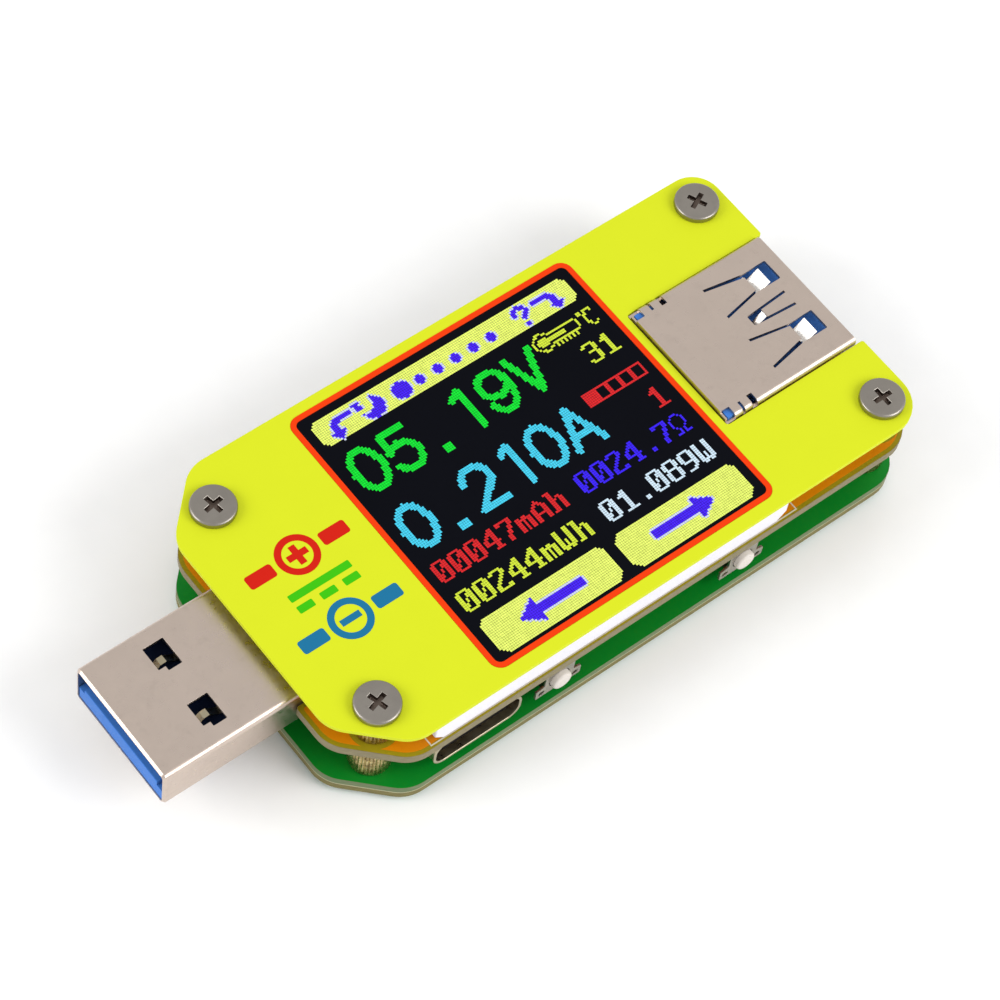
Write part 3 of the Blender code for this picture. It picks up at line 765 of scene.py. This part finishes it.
def draw_readings(picture):
    for text, look, first, top in READINGS:
        for place, character in enumerate(text):
            for j, line in enumerate(GLYPHS[character].split()):
                for i, mark in enumerate(line):
                    if mark == "#":
                        picture.pixels[round(first) + place * GLYPH_PITCH + i, round(top) + j] = look
    for look, top, characters in LARGE_READINGS:
        for character, left in characters:
            for stroke in LARGE[character]:
                inside = near_line(moved(stroke_points(stroke), left + LARGE_LEFT, top), LARGE_STROKE / 2)
                picture.fill(look, inside, (left - 1, left + 18), (top - 1, top + 25))
    picture.fill("lit_green", cut_corners(37.6, 42.2, 38.3, 42.4))
    picture.fill("lit_cyan", cut_corners(21, 25.6, 70, 74))


def draw_temperature(picture):
    """A thermometer lying on its side, the degree sign, and a row of slots that stands for the data group."""
    body = either(disc(*BULB, 4.7), cut_corners(104, 119.6, 19.4, 24.6, 1))
    hollow = either(disc(*BULB, 3.7), cut_corners(104, 118.6, 20.4, 23.6))
    picture.fill("lit_olive", without(body, hollow), (96, 121), (16, 28))
    picture.fill("lit_olive", either(disc(*BULB, 2.5), cut_corners(103, 113, 21.4, 22.6)))
    for column in range(106, 118, 2):
        picture.fill("lit_olive", cut_corners(column, column + 1, 24.4, 26.9))
    picture.fill("lit_olive", cut_corners(120.6, 122.6, 18, 20))
    arc = near_line(stroke_points((126, 22.4, 2.4, 3.9, 45, 315)), 0.62)
    picture.fill("lit_olive", arc, (122, 128), (17, 28))
    for index in range(5):
        left = 98.5 + index * 6
        slot = cut_corners(left, left + 5, 51, 58)
        picture.fill("lit_red", without(slot, cut_corners(left + 1, left + 4, 52, 57)) if index else slot)


def draw_buttons(picture):
    """The two soft keys, with arrows instead of words."""
    for left, right, middle, turn in ((0, 61, 29.6, -1), (66.5, PICTURE_SIZE, 97.0, 1)):
        picture.fill("lit_lime", cut_corners(left, right, 110, 127.8, KEY_CORNER))
        tip, root, tail = middle + turn * 15, middle + turn * 6, middle - turn * 15
        head = in_polygon((tip, 119), (root, 113.4), (root, 124.6))
        shaft_left, shaft_right = min(root, tail - 1.2), max(root, tail + 1.2)
        shaft = cut_corners(shaft_left, shaft_right, 117.2, 120.9)
        columns = (min(tip, tail) - 2, max(tip, tail) + 2)
        picture.icon(either(head, shaft), columns, (112, 126))


def make_screen():
    picture = Picture()
    draw_bar(picture)
    draw_readings(picture)
    draw_temperature(picture)
    draw_buttons(picture)
    left, right = shifted(PICTURE_X, MIDDLE_X)
    bottom, top = PICTURE_Y
    pitch_x, pitch_y = (right - left) / PICTURE_SIZE, (top - bottom) / PICTURE_SIZE
    half_x, half_y = pitch_x * PAD_FILL[0] / 2, pitch_y * PAD_FILL[1] / 2
    low = COVER_TOP - PICTURE_DEPTH
    square = ((-half_x, -half_y), (half_x, -half_y), (half_x, half_y), (-half_x, half_y))
    groups = {}
    for place, look in picture.pixels.items():
        groups.setdefault(look, []).append(place)
    for look, places in sorted(groups.items()):
        points, faces = [], []
        for column, row in sorted(places):
            x, y = left + (column + 0.5) * pitch_x, top - (row + 0.5) * pitch_y
            faces += [[len(points) + i for i in face] for face in BOX_FACES]
            points += [((x + i) * MM, (y + j) * MM, z * MM) for z in (low, low + PRINT) for i, j in square]
        mesh = bpy.data.meshes.new(look)
        mesh.from_pydata(points, [], faces)
        show(new_object("pixels_" + look[4:], mesh), look, smooth=0)


def add_print(name, outlines, look):
    """Shapes printed on the cover, as one piece."""
    z = (COVER_TOP - PRINT_ROOT, COVER_TOP + PRINT)
    show(merged(name, [solid(name, loops, z) for loops in outlines]), look)


def make_marks():
    """Printed on the cover's plug end: plus and minus in rings between bars, and the sign for direct current."""
    middle = MIDDLE_X - MARKS_FROM_MIDDLE
    arm, half = 0.95, 0.3
    upper = [(arm, half), (half, half), (half, arm), (-half, arm), (-half, half), (-arm, half)]
    cross = upper + [(-x, -y) for x, y in upper]
    for name, look, y in (("plus", "print_red", 3.6), ("minus", "print_blue", -3.5)):
        line = rectangle(around(middle, arm), around(y, half))
        sign = moved(cross, middle, y) if name == "plus" else line
        marks = [[circle(1.9, (middle, y)), circle(1.3, (middle, y))], [sign]]
        for side in SIDES:
            bar = sorted((middle + side * 2.35, middle + side * 4.9))
            marks.append([rectangle(bar, around(y, 0.65), 0.25)])
        add_print(f"mark_{name}", marks, look)
    dashes = [[rectangle(around(middle, 3.0), (0.25, 0.95), 0.1)]]
    dashes += [[rectangle((middle + x, middle + x + 1.5), (-0.95, -0.25), 0.1)] for x in (-3.0, -0.75, 1.5)]
    add_print("mark_direct_current", dashes, "print_green")


def make_display():
    low, high = mm_box("display_frame")
    rim, toe = 0.55, 0.9
    profile = [(low.x + toe, low.z), (high.x - toe, low.z), (high.x, low.z + toe)]
    profile += [(high.x, high.z), (low.x, high.z), (low.x, low.z + toe)]
    outline = rounded([(*corner, 0.1) for corner in profile], 3)
    tray = solid("display_tray", [outline], (low.y, high.y), "Y", 0.12, 2)
    glass_low, glass_high = mm_box("display_glass")
    pocket_low = (low.x + rim, low.y + rim, glass_low.z - GAP)
    pocket = block("pocket", pocket_low, (high.x - rim, high.y - rim, high.z + PAST), 0)
    slot_low, slot_high = (low.x - PAST, -6.1, low.z + 0.6), (low.x + rim + PAST, 6.1, low.z + 1.3)
    cut(tray, pocket, block("tape_slot", slot_low, slot_high, 0))
    show(tray, "frame_white", ["display_frame"])

    low, high, inset = glass_low, glass_high, 0.8
    step = low.z + 0.4
    glass = block("display_panel", low, (high.x, high.y, step), 0.04)
    upper_low, upper_high = (low.x + inset, low.y + inset, step - 0.05), (high.x - inset, high.y - inset, high.z)
    cut(glass, block("polariser", upper_low, upper_high, 0.04), operation="UNION")
    show(glass, "window_black", ["display_glass"])
    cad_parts["display_flex"].data.materials.clear()
    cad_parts["display_flex"].data.materials.append(LOOKS["tape"])


# ------------------------------------------------------------------------------------------------ boards


def make_main_board():
    low, high = BOARD_LOW.z, BOARD_HIGH.z
    core = solid("board_core", [carved_outline(), *screw_holes()], (low + MASK, high - MASK))
    show(core, "board_core", ["main_board"])
    for name, z in (("board_mask_top", (high - MASK, high)), ("board_mask_bottom", (low, low + MASK))):
        show(solid(name, [carved_outline(MASK_INSET), *screw_holes(MASK_HOLE)], z), "mask_olive")
    for name, z in (("top", (high - 0.002, high + 0.01)), ("bottom", (low - 0.01, low + 0.002))):
        copper = solid(f"board_copper_{name}", [carved_outline(0.4)], z)
        cut(copper, *(solid("clear", [circle(2.15, place)], through(*z)) for place in SCREW_PLACES))
        show(copper, "mask_orange")
    tray_low, tray_high = mm_box("display_frame")
    line = (tray_low.x - 0.3, tray_high.x + 1.4), around(0, 15.0)
    outlines = [rectangle(*line), rectangle(*line, inset=0.12)]
    legend = solid("board_legend", outlines, (high + 0.006, high + 0.016))
    reach = SOCKET_HIGH.y + CUT_SPACE + 0.1
    cut(legend, block("gap", (tray_high.x, -reach, high - PAST), (tray_high.x + 3, reach, high + PAST), 0))
    show(legend, "silk")


def make_bottom_cover():
    """Two laminated layers, a pale line painted between them as a highlight along the side, under a green mask that
    runs out to the edge.
    """
    # seam is half the height of the pale line, which is a painted highlight
    low, high, seam = BOTTOM_LOW.z, BOTTOM_HIGH.z, 0.05

    def whole(inset=0.0):
        plug_end, socket_end = plate_ends(inset, BOARD_INSET)
        return rounded(plug_end + socket_end)

    middle = (low + high) / 2
    for name, look, z, nodes in (
        ("bottom_core", "bottom_core", (low + MASK, middle - seam), ["bottom_cover"]),
        ("bottom_seam", "mask_pale", (middle - seam, middle + seam), ()),
        ("bottom_upper", "bottom_upper", (middle + seam, high - MASK), ()),
    ):
        layer = solid(name, [whole(), *screw_holes()], z, edge=0.02)
        show(layer, look, nodes, smooth=21)
    for side, z in (("top", (high - MASK, high)), ("under", (low, low + MASK))):
        mask = solid(f"bottom_mask_{side}", [whole(MASK_INSET), *screw_holes(MASK_HOLE)], z)
        show(mask, "mask_green")


# ---------------------------------------------------------------------------------- screws and spacers

SCREW_TURNS = (16, 10, 0, 25)  # of the cross recesses, in degrees
HEAD = 0.65  # height of a screw's head
THREAD_PITCH, THREAD_DEPTH = 0.4, 0.15
RECESS_REACH, RECESS_DEPTH = 1.04, 0.42
KNURL = (1.0, 0.985, 0.945, 0.985)  # of a spacer's radius, over one ridge
RIDGES = 34


def crowned(radius, top, crown, flat, dip):
    """The upper part of a domed profile. crown gives distances in from the radius and down from the top, and the
    last point but one lies dip below the top at the flat share of the radius."""
    return [(radius - inward, top - down) for inward, down in crown] + [(radius * flat, top - dip), (0, top)]


def make_screw(side, index, turn):
    name = f"{side}_screw_{index}"
    low, high = mm_box(name)
    up = side == "top"
    radius, shank = (high.x - low.x) / 2, 0.95
    length = high.z - low.z - HEAD
    profile = [(0, -length), (0.7, -length), (shank, 0.25 - length)]
    thread = 0.45 - length
    while thread < -0.7:
        profile += [(shank - THREAD_DEPTH, thread), (shank, thread + 0.2)]
        thread += THREAD_PITCH
    profile += [(shank - THREAD_DEPTH, -0.3), (shank - THREAD_DEPTH, 0.0), (radius - 0.05, 0.0), (radius, 0.06)]
    profile += crowned(radius, HEAD, ((0, 0.2), (0.03, 0.12), (0.1, 0.055), (0.22, 0.02)), 0.5, 0.002)
    screw = lathe(f"{name}_body", profile, (0, 0, 0), 64)
    floor = HEAD - RECESS_DEPTH
    for quarter in range(2):
        arm = block("arm", (-RECESS_REACH, -0.25, floor), (RECESS_REACH, 0.25, HEAD + 0.3), 0)
        for vert in arm.data.vertices:  # the arms slope in towards the middle of the recess
            if vert.co.z < (floor + 0.1) * MM:
                vert.co.x *= 0.7
                vert.co.y *= 0.75
        arm.data.transform(Matrix.Rotation(math.radians(90 * quarter), 4, "Z"))
        cut(screw, arm)
    screw.data.transform(Matrix.Rotation(math.radians(turn), 4, "Z"))
    break_edges(screw, 0.02, 48)
    centre = centre_of(name)
    seat = high.z - HEAD if up else low.z + HEAD
    place = Matrix.Translation(Vector((centre.x, centre.y, seat)) * MM)
    if not up:
        place = place @ Matrix.Rotation(math.pi, 4, "X")
    screw.data.transform(place)

    # Faces down in the cross recess wear the darker look, which is painted shade.
    def recessed(point):
        depth = high.z - point.z if up else point.z - low.z
        return 0.04 < depth < 0.6 and (point.xy - centre.xy).length < RECESS_REACH + 0.11

    show(screw, "screw_steel", [name], smooth=32, recess=("recess_steel", recessed))


def make_spacer(node):
    low, high = mm_box(node)
    centre, radius = (low + high) / 2, (high.x - low.x) / 2
    height, collar, neck = high.z - low.z, 0.22, radius - 0.12
    half = [(HOLE_RADIUS, 0), (radius - 0.2, 0), (neck, 0.06), (neck, collar), (radius, collar + 0.08)]
    profile = half + [(r, height - z) for r, z in half[::-1]]

    def teeth(index, step):
        return KNURL[step % len(KNURL)] if profile[index][0] == radius else 1

    steps = RIDGES * len(KNURL)
    spacer = lathe(f"{node}_knurled", profile, (centre.x, centre.y, low.z), steps, teeth=teeth)
    show(spacer, "brass", [node], smooth=25)


def make_fasteners():
    for index, turn in enumerate(SCREW_TURNS, 1):
        make_screw("top", index, turn)
        make_screw("bottom", index, turn * 2 + 20)
        make_spacer(f"lower_standoff_{index}")
        make_spacer(f"upper_spacer_{index}")


# ---------------------------------------------------------------------------------------- connectors


def four(start, end, inner, outer):
    return [(start, inner), (end, inner), (end, outer), (start, outer)]


SOCKET_OPENINGS = (  # through the top: corners along from the plates' middle and out from the axis, and their rounding
    (four(25.05, 27.65, 2.0, 4.15), 0.12),
    ([(21.2, 4.78), (21.2, 4.52), (25.1, 3.75), (25.1, 4.12)], 0),
    ([(21.2, 1.55), (21.2, 1.29), (25.1, 2.02), (25.1, 2.24)], 0),
    ([(22.7, 0.56), (22.7, 0.34), (27.0, 0.62), (27.0, 0.86)], 0),
    (four(14.0, 15.45, 5.5, 7.5), 0),
    (four(17.35, 17.9, 5.5, 7.5), 0),
    (four(16.3, 16.55, 5.6, 7.5), 0),
)


def seam(low, high, z):
    """A cutter for the joint along a shell's underside."""
    return solid("seam", [rectangle(through(low.x, high.x), around(0, 0.03))], z)


def make_contacts(connector, bends, end, width, thickness):
    """The four contacts of a connector. bends gives distances along from the root and up, and end up at the tip."""
    for index in range(1, 5):
        node = f"{connector}_contact_{index}"
        low, high = mm_box(node)
        y, z = (low.y + high.y) / 2, (low.z + high.z) / 2
        path = [(low.x + along, z + up) for along, up in bends] + [(high.x, z + end)]
        show(strip(f"{node}_strip", path, width, thickness, y), "gold", [node])


def make_plug():
    low, high = PLUG_LOW, PLUG_HIGH
    x, y, z, round_out = (low.x, high.x), around(0, high.y), (low.z, high.z), 0.55
    shell = solid("plug_can", [rectangle(y, z, round_out)], x, "X", 0.2, 0)
    cut(shell, solid("hollow", [rectangle(y, z, round_out - SHEET, SHEET)], through(*x), "X"))
    start, length, reach = low.x + 5.16, 1.95, 1.35
    step_x, step_y = start + 0.65, 0.45 - reach
    cutters = []
    for side in SIDES:
        middle = side * 3.0
        corners = [
            (start, middle + reach, 0.06),
            (start, middle + step_y, 0.06),
            (step_x, middle + step_y, 0),
            (step_x, middle - reach, 0.06),
            (start + length, middle - reach, 0.1),
            (start + length, middle + reach, 0.1),
        ]
        cutters.append(solid("window", [rounded(corners, 3)], through(*z)))
    cut(shell, *cutters, seam(low, high, (low.z - PAST, low.z + SHEET + 0.05)))
    break_edges(shell, 0.07, 60)
    show(shell, "nickel", ["plug_shell"], smooth=30)

    inside = high.y - SHEET - GAP
    body_low, body_high = mm_box("plug_insulator")
    top = mm_box("plug_contact_1")[0].z - GAP
    wall_x = low.x + 11.5
    tongue = block("plug_tongue", (body_low.x, -inside, body_low.z), (body_high.x, inside, top), 0.12)
    wall = block("plug_wall", (wall_x, -inside, body_low.z + 0.2), (body_high.x, inside, body_high.z), 0.1)
    cut(tongue, wall, operation="UNION")
    cutters = [
        block("groove", (low.x + 1.0, y - 0.62, top - 0.12), (low.x + 9.2, y + 0.62, top + PAST), 0)
        for y in CONTACT_Y
    ]
    cutters += [  # the steps at the mouth's two corners
        block("step", (low.x - PAST, y - 0.6, top - 0.5), (low.x + 1.4, y + 0.6, high.z), 0) for y in (5.5, -5.5)
    ]
    cut(tongue, *cutters)
    break_edges(tongue, 0.03, 50)
    show(tongue, "blue_plastic", ["plug_insulator"])
    make_contacts("plug", ((0, -0.1), (0.25, -0.02), (0.5, 0)), 0, 1.0, 0.16)
    # A block under the windows that stands for the USB 3.0 contact carrier; its dark navy colour is painted shade.
    carrier_shade_low = (start - 0.6, GAP - inside, top + GAP)
    carrier = block("plug_carrier", carrier_shade_low, (wall_x - 0.1, inside - GAP, top + 0.3), 0.05)
    show(carrier, "dark_navy")
    roof = high.z - SHEET
    path = [(low.x + 11.3, top + 0.45), (start + 2.2, top + 0.5), (start + 1.2, roof - 0.55)]
    path += [(start + 0.7, roof - 0.6), (start + 0.35, roof - 0.95)]
    springs = [strip("spring", path, 0.7, 0.14, y) for y in (-2.7, 3.1)]
    show(merged("plug_springs", springs), "spring_beige")


def make_socket():
    low, high = SOCKET_LOW, SOCKET_HIGH
    half, round_out = high.y, 0.5
    y, z = around(0, half), (low.z, high.z)
    outlines = [rectangle(y, z, round_out), rectangle(y, z, round_out - SHEET, SHEET)]
    shell = solid("socket_can", outlines, (low.x, high.x), "X", 0.02)

    def opening(corners, radius=0.0, side=1):
        points = [(MIDDLE_X + along, side * out) for along, out in corners][::side]
        outline = rounded([(*point, radius) for point in points], 3) if radius else points
        return solid("opening", [outline], (high.z - SHEET - 0.3, high.z + PAST))

    cutters = []
    for side in SIDES:
        cutters += [opening(corners, radius, side) for corners, radius in SOCKET_OPENINGS]
        for slit in (low.z + 1.3, low.z + 3.1):  # beside the springs in the sides
            slit_low = (MIDDLE_X + 21.5, side * half - 0.6, slit)
            cutters.append(block("slit", slit_low, (MIDDLE_X + 26.5, side * half + 0.6, slit + 0.3), 0))
    cutters.append(opening(four(22.6, 24.1, -0.5, 0.5)))
    under = (low.z - PAST, low.z + SHEET + 0.3)
    for side in SIDES:
        hole = rectangle((MIDDLE_X + 24.2, MIDDLE_X + 26.8), sorted((side * 2.2, side * 4.4)), 0.2)
        cutters.append(solid("hole", [hole], under))
    cut(shell, *cutters, seam(low, high, under))
    break_edges(shell, 0.03, 60, 2)
    show(shell, "nickel", ["socket_shell"], smooth=30)

    top = high.z - SHEET / 2

    def finger(name, bends, width, thickness, y, edge=0.02):
        path = [(MIDDLE_X + along, top - down) for along, down in bends]
        return strip(name, path, width, thickness, y, edge=edge)

    # The bent ends of the two long fingers, which dip and rise again, and of the short one
    bends = ((24.95, 0), (25.15, 0.55), (25.4, 0.98), (26.75, 0.06))
    pads = [finger("pad", bends, 1.75, 0.16, side * 3.07, 0.06) for side in SIDES]
    pads.append(finger("pad", ((24.2, 0.02), (23.6, 0.5), (23.1, 0.9), (22.85, 0.75)), 0.66, 0.2, 0))
    show(merged("socket_fingers", pads), "bright_steel")
    inside, floor, roof = half - SHEET - GAP, low.z + SHEET + GAP, high.z - SHEET - GAP
    flap = block("socket_flap", (low.x + GAP, -inside, floor), (low.x + 0.22, inside, roof), 0.04)
    show(flap, "nickel")

    body_low, body_high = mm_box("socket_insulator")
    base = block("socket_base", (body_low.x, -inside, floor), (body_low.x + 2.6, inside, roof), 0.1)
    contact_top = mm_box("socket_contact_1")[1].z
    under, over = contact_top + GAP, contact_top + 1.86
    blade = block("blade", (body_low.x + 1, -5.2, under), (body_high.x, 5.2, over), 0.12)
    cut(base, blade, operation="UNION")
    slot_x = (body_high.x - 9.3, body_high.x - 1.0)
    slots = [
        block("slot", (slot_x[0], y - 0.6, under - PAST), (slot_x[1], y + 0.6, under + 0.1), 0) for y in CONTACT_Y
    ]
    cut(base, *slots)
    break_edges(base, 0.03, 50)
    show(base, "blue_plastic", ["socket_insulator"])
    make_contacts("socket", ((0, 0.02), (4.6, 0), (5.8, -0.35), (6.4, -0.38)), 0.02, 0.95, 0.14)
    path = [(body_high.x - 2.9, under - 0.05), (body_high.x - 0.5, under - 0.05)]
    fast = [strip("fast", path, 0.6, 0.08, y) for y in (-4.4, -2.25, 0.0, 2.25, 4.4)]
    show(merged("socket_fast_contacts", fast), "gold")


def make_port(name, side):
    shell_node, tongue_node = f"{name}_port_shell", f"{name}_port_tongue"
    low, high = mm_box(shell_node)
    wall, middle = 0.28, (low + high) / 2
    x, z = (low.x, high.x), (low.z, high.z)
    round_out = (high.z - low.z) / 2 - 0.35
    outlines = [rectangle(x, z, round_out), rectangle(x, z, round_out - wall, wall)]
    shell = solid(f"{name}_port_can", outlines, (low.y, high.y), "Y", 0.07, 3)
    legs = [
        block("leg", (leg_x - 0.15, leg_y - 0.5, high.z - 1.2), (leg_x + 0.15, leg_y + 0.5, high.z + 0.01))
        for leg_x in (low.x + 0.2, high.x - 0.2)
        for leg_y in (middle.y - 2.2, middle.y + 1.6)
    ]
    cut(shell, *legs, operation="UNION")
    show(shell, "spring_beige", [shell_node], smooth=30)

    def centred(half_x, half_z, radius, ends, edge, rounds=1):
        outline = rectangle(around(middle.x, half_x), around(middle.z, half_z), radius)
        return solid("centred", [outline], sorted(ends), "Y", edge, rounds)

    tongue_low, tongue_high = mm_box(tongue_node)
    rear, front = (tongue_low.y, tongue_high.y)[::side]
    seat, inset = rear + side * 2.4, wall + GAP
    body = rectangle(x, z, round_out - inset, inset)
    filler = solid(f"{name}_port_body", [body], sorted((rear, seat)), "Y")
    blade = centred(3.35, 0.35, 0.12, (rear + side, front), 0.06, 2)
    collar = centred(3.6, 0.6, 0.3, (rear + side, seat + side), 0.05)
    cut(filler, blade, collar, operation="UNION")
    # The port's black plastic body, darker than the other black plastic: painted shade inside the port.
    show(filler, "dark_inside", [tongue_node])
    contacts = []
    for row in SIDES:
        surface = middle.z + row * 0.35
        for i in range(PORT_CONTACTS):
            place = middle.x + (i - (PORT_CONTACTS - 1) / 2) * 0.5
            back, tip = sorted((seat + side * 1.02, front - side * (0.45 if i in LONG_CONTACTS else 0.7)))
            contact_low, contact_high = (place - 0.13, back, surface - 0.03), (place + 0.13, tip, surface + 0.03)
            contacts.append(block("contact", contact_low, contact_high, 0.01, 1))
    show(merged(f"{name}_port_contacts", contacts), "gold")


# --------------------------------------------------------------------------------- buttons and chips


def make_button(index, body, side):
    housing_node, plunger_node = f"button_housing_{index}", f"button_plunger_{index}"
    low, high = mm_box(housing_node)
    plunger_low, plunger_high = mm_box(plunger_node)
    axis = (plunger_low + plunger_high) / 2
    back, face = (low.y, high.y)[::side]
    plate, bore = 0.25, 1.02

    def depth(first, last):
        """Between two distances behind the face."""
        return sorted((face - side * first, face - side * last))

    def behind(name, x, z, first, last, edge):
        near, far = depth(first, last)
        return block(name, (x[0], near, z[0]), (x[1], far, z[1]), edge)

    core_x, core_z = (low.x + 0.95, high.x - 0.95), (low.z + 0.3, high.z)
    core = behind(f"{housing_node}_core", core_x, core_z, plate + GAP, abs(face - back), 0.08)
    hole = lathe("hole", [(0, -3), (bore, -3), (bore, 3), (0, 3)], (axis.x, face, axis.z), 32, "Y")
    cut(hole, behind("stop", (low.x, high.x), through(low.z, high.z), 1.2, 4, 0))
    cut(core, hole)
    show(core, "black_plastic", [housing_node])

    shoulder, wing, stem = low.z + 1.35, low.z + 1.1, 1.5
    outline = [
        (axis.x - stem, high.z - 0.05, 0),
        (axis.x - stem, shoulder, 0.2),
        (low.x, wing, 0.1),
        (low.x, low.z, 0.15),
        (high.x, low.z, 0.15),
        (high.x, wing, 0.1),
        (axis.x + stem, shoulder, 0.2),
        (axis.x + stem, high.z - 0.05, 0),
    ]
    loops = [rounded(outline, 4), circle(bore + GAP, (axis.x, axis.z), 32)]
    loops += [circle(0.3, (x, low.z + 0.52), 16) for x in around(axis.x, 1.75)]
    bracket = solid(f"{housing_node}_bracket", loops, depth(0, plate), "Y", 0.04)
    lips = [behind("lip", around(x, 0.25), (high.z - 0.3, high.z), 0, 1.4, 0.06) for x in around(axis.x, 1.2)]
    cut(bracket, *lips, operation="UNION")
    show(bracket, "bracket_grey")

    reach = plunger_high.y - plunger_low.y
    radius = (plunger_high.z - plunger_low.z) / 2
    dome = [(0, 0), (radius - 0.05, 0), (radius, 0.05)]
    dome += crowned(radius, reach, ((0, 0.26), (0.03, 0.16), (0.1, 0.08), (0.22, 0.03)), 0.45, 0.004)
    plunger = lathe(f"{plunger_node}_cap", dome, (0, 0, 0), 40)
    turn = Matrix.Rotation(math.radians(-90 * side), 4, "X")
    root = (plunger_low.y, plunger_high.y)[::side][0]
    plunger.data.transform(Matrix.Translation(Vector((axis.x, root, axis.z)) * MM) @ turn)
    show(plunger, "plunger_white", [plunger_node], body)


def legs_row(chip, axis, side, count, pitch, width, board):
    """Gull-wing legs along one side of a chip, which point along the axis and stand on the board."""
    low, high = mm_box(chip)
    centre = (low + high) / 2
    if axis == "Y":
        across, start = centre.x, centre.y + side * (high.y - low.y) / 2
    else:
        across, start = centre.y, centre.x + side * (high.x - low.x) / 2
    path = [(start + side * out, board - down) for out, down in LEG_BENDS]
    offsets = ((i - (count - 1) / 2) * pitch for i in range(count))
    return [strip("leg", path, width, 0.14, across + offset, axis, 0.015) for offset in offsets]


def make_ends(node, look, cap):
    """A two-ended part: a body and its two metal ends, which wrap round it."""
    low, high = mm_box(node)
    skin, buried = 0.03, cap * 0.5
    core_low = (low.x + buried, low.y + skin, low.z + skin)
    core = block(f"{node}_core", core_low, (high.x - buried, high.y - skin, high.z - skin))
    show(core, look, [node])
    ends = [block("end", low, (low.x + cap, high.y, high.z), 0.06)]
    ends.append(block("end", (high.x - cap, low.y, low.z), high, 0.06))
    show(merged(f"{node}_ends", ends), "solder")


def make_chips():
    for node in ("microcontroller", "sense_amplifier", "voltage_regulator"):
        low, high = mm_box(node)
        case = block(f"{node}_case", low, (high.x, high.y, high.z - GAP), 0.12)
        dimple = [(0, -0.3), (0.3, -0.3), (0.3, 0.08), (0, 0.08)]
        cut(case, lathe("dimple", dimple, (low.x + 0.8, low.y + 0.8, low.z), 24))
        show(case, "black_plastic", [node])
    board = mm_box("microcontroller")[1].z
    legs = []
    for row in CHIP_LEGS:
        legs += legs_row(*row, board)
    show(merged("chip_legs", legs), "solder")
    for node in ("shunt_resistor_1", "shunt_resistor_2"):
        make_ends(node, "black_plastic", 1.1)
    for node in ("input_capacitor", "output_capacitor"):
        make_ends(node, "ceramic", 0.45)
    low, high = mm_box("crystal")
    can = block("crystal_can", low, (high.x, high.y, high.z - 0.2), 0.15, 3)
    base = block("crystal_base", (low.x, low.y, high.z - 0.35), (high.x, high.y, high.z - GAP), 0.04)
    cut(can, base, operation="UNION")
    show(can, "bright_steel", ["crystal"])


# ------------------------------------------------------------------------------------------ the studio

AIM = (0.005, 0, 0.005)  # where the lights point, in metres
LIGHT_DISTANCE, LIGHT_SIZE = 0.6, 0.38  # in metres
FLOOR_SIZE, FLOOR_Z = 6.0, -0.00002  # in metres
WORLD_STRENGTH = 0.78

# Viewing angle, roll and distance worked out from the photograph's straight edges
AZIMUTH, ELEVATION, ROLL = map(math.radians, (-47.666, 57.868, 11.139))
DISTANCE, ACROSS, UP = 282.27, -2.642, -4.485
LENS = 124.087


def make_floor():
    graph = Graph("floor_white")
    fine = graph.noise(4.0)
    look = graph.made(
        Base_Color=graph.patches(fine, (1, 1, 1), 0.93, 0.95),
        Roughness=graph.spread(fine, 0.85, 0.95),
    )
    shape = bmesh.new()
    bmesh.ops.create_grid(shape, x_segments=8, y_segments=8, size=FLOOR_SIZE)
    floor = new_object("floor", mesh_from(shape, "floor"))
    floor.data.materials.append(look)
    floor.location.z = FLOOR_Z


def add_light(name, direction, power):
    light = bpy.data.lights.new(name, "AREA")
    light.shape = "DISK"
    light.size = LIGHT_SIZE
    light.energy = power
    obj = new_object(name, light)
    direction = Vector(direction).normalized()
    obj.location = Vector(AIM) + direction * LIGHT_DISTANCE
    obj.rotation_mode = "QUATERNION"
    obj.rotation_quaternion = direction.to_track_quat("Z", "Y")


def make_studio():
    make_floor()
    world = bpy.data.worlds.new("studio")
    world.use_nodes = True
    background = world.node_tree.nodes["Background"]
    background.inputs["Color"].default_value = (1, 1, 1, 1)
    background.inputs["Strength"].default_value = WORLD_STRENGTH
    bpy.context.scene.world = world
    add_light("front_box", (0.39, -0.70, 0.60), 1.8)
    add_light("back_box", (-0.77, 0.36, 0.51), 1.5)


def make_camera():
    right = Vector((math.cos(AZIMUTH), math.sin(AZIMUTH), 0))
    level = math.cos(ELEVATION)
    back = Vector((math.sin(AZIMUTH) * level, -math.cos(AZIMUTH) * level, math.sin(ELEVATION)))
    up = back.cross(right)
    across = math.cos(ROLL) * right + math.sin(ROLL) * up
    upward = math.cos(ROLL) * up - math.sin(ROLL) * right
    place = back * DISTANCE + right * ACROSS + up * UP + Vector((MIDDLE_X, 0, COVER_TOP))
    camera = bpy.data.cameras.new("camera")
    camera.lens = LENS
    camera.sensor_width = 36
    camera.clip_start, camera.clip_end = 0.01, 20
    obj = new_object("camera", camera)
    turn = Matrix((across, upward, back)).transposed().to_4x4()
    obj.matrix_world = Matrix.Translation(place * MM) @ turn
    bpy.context.scene.camera = obj


make_cover()
make_screen()
make_marks()
make_display()
make_main_board()
make_bottom_cover()
make_fasteners()
make_plug()
make_socket()
make_port("input", -1)
make_port("output", 1)
for number, (carrier, edge) in enumerate(BUTTONS, 1):
    make_button(number, carrier, edge)
make_chips()
make_studio()
make_camera()
bpy.context.scene.view_settings.view_transform = "Standard"
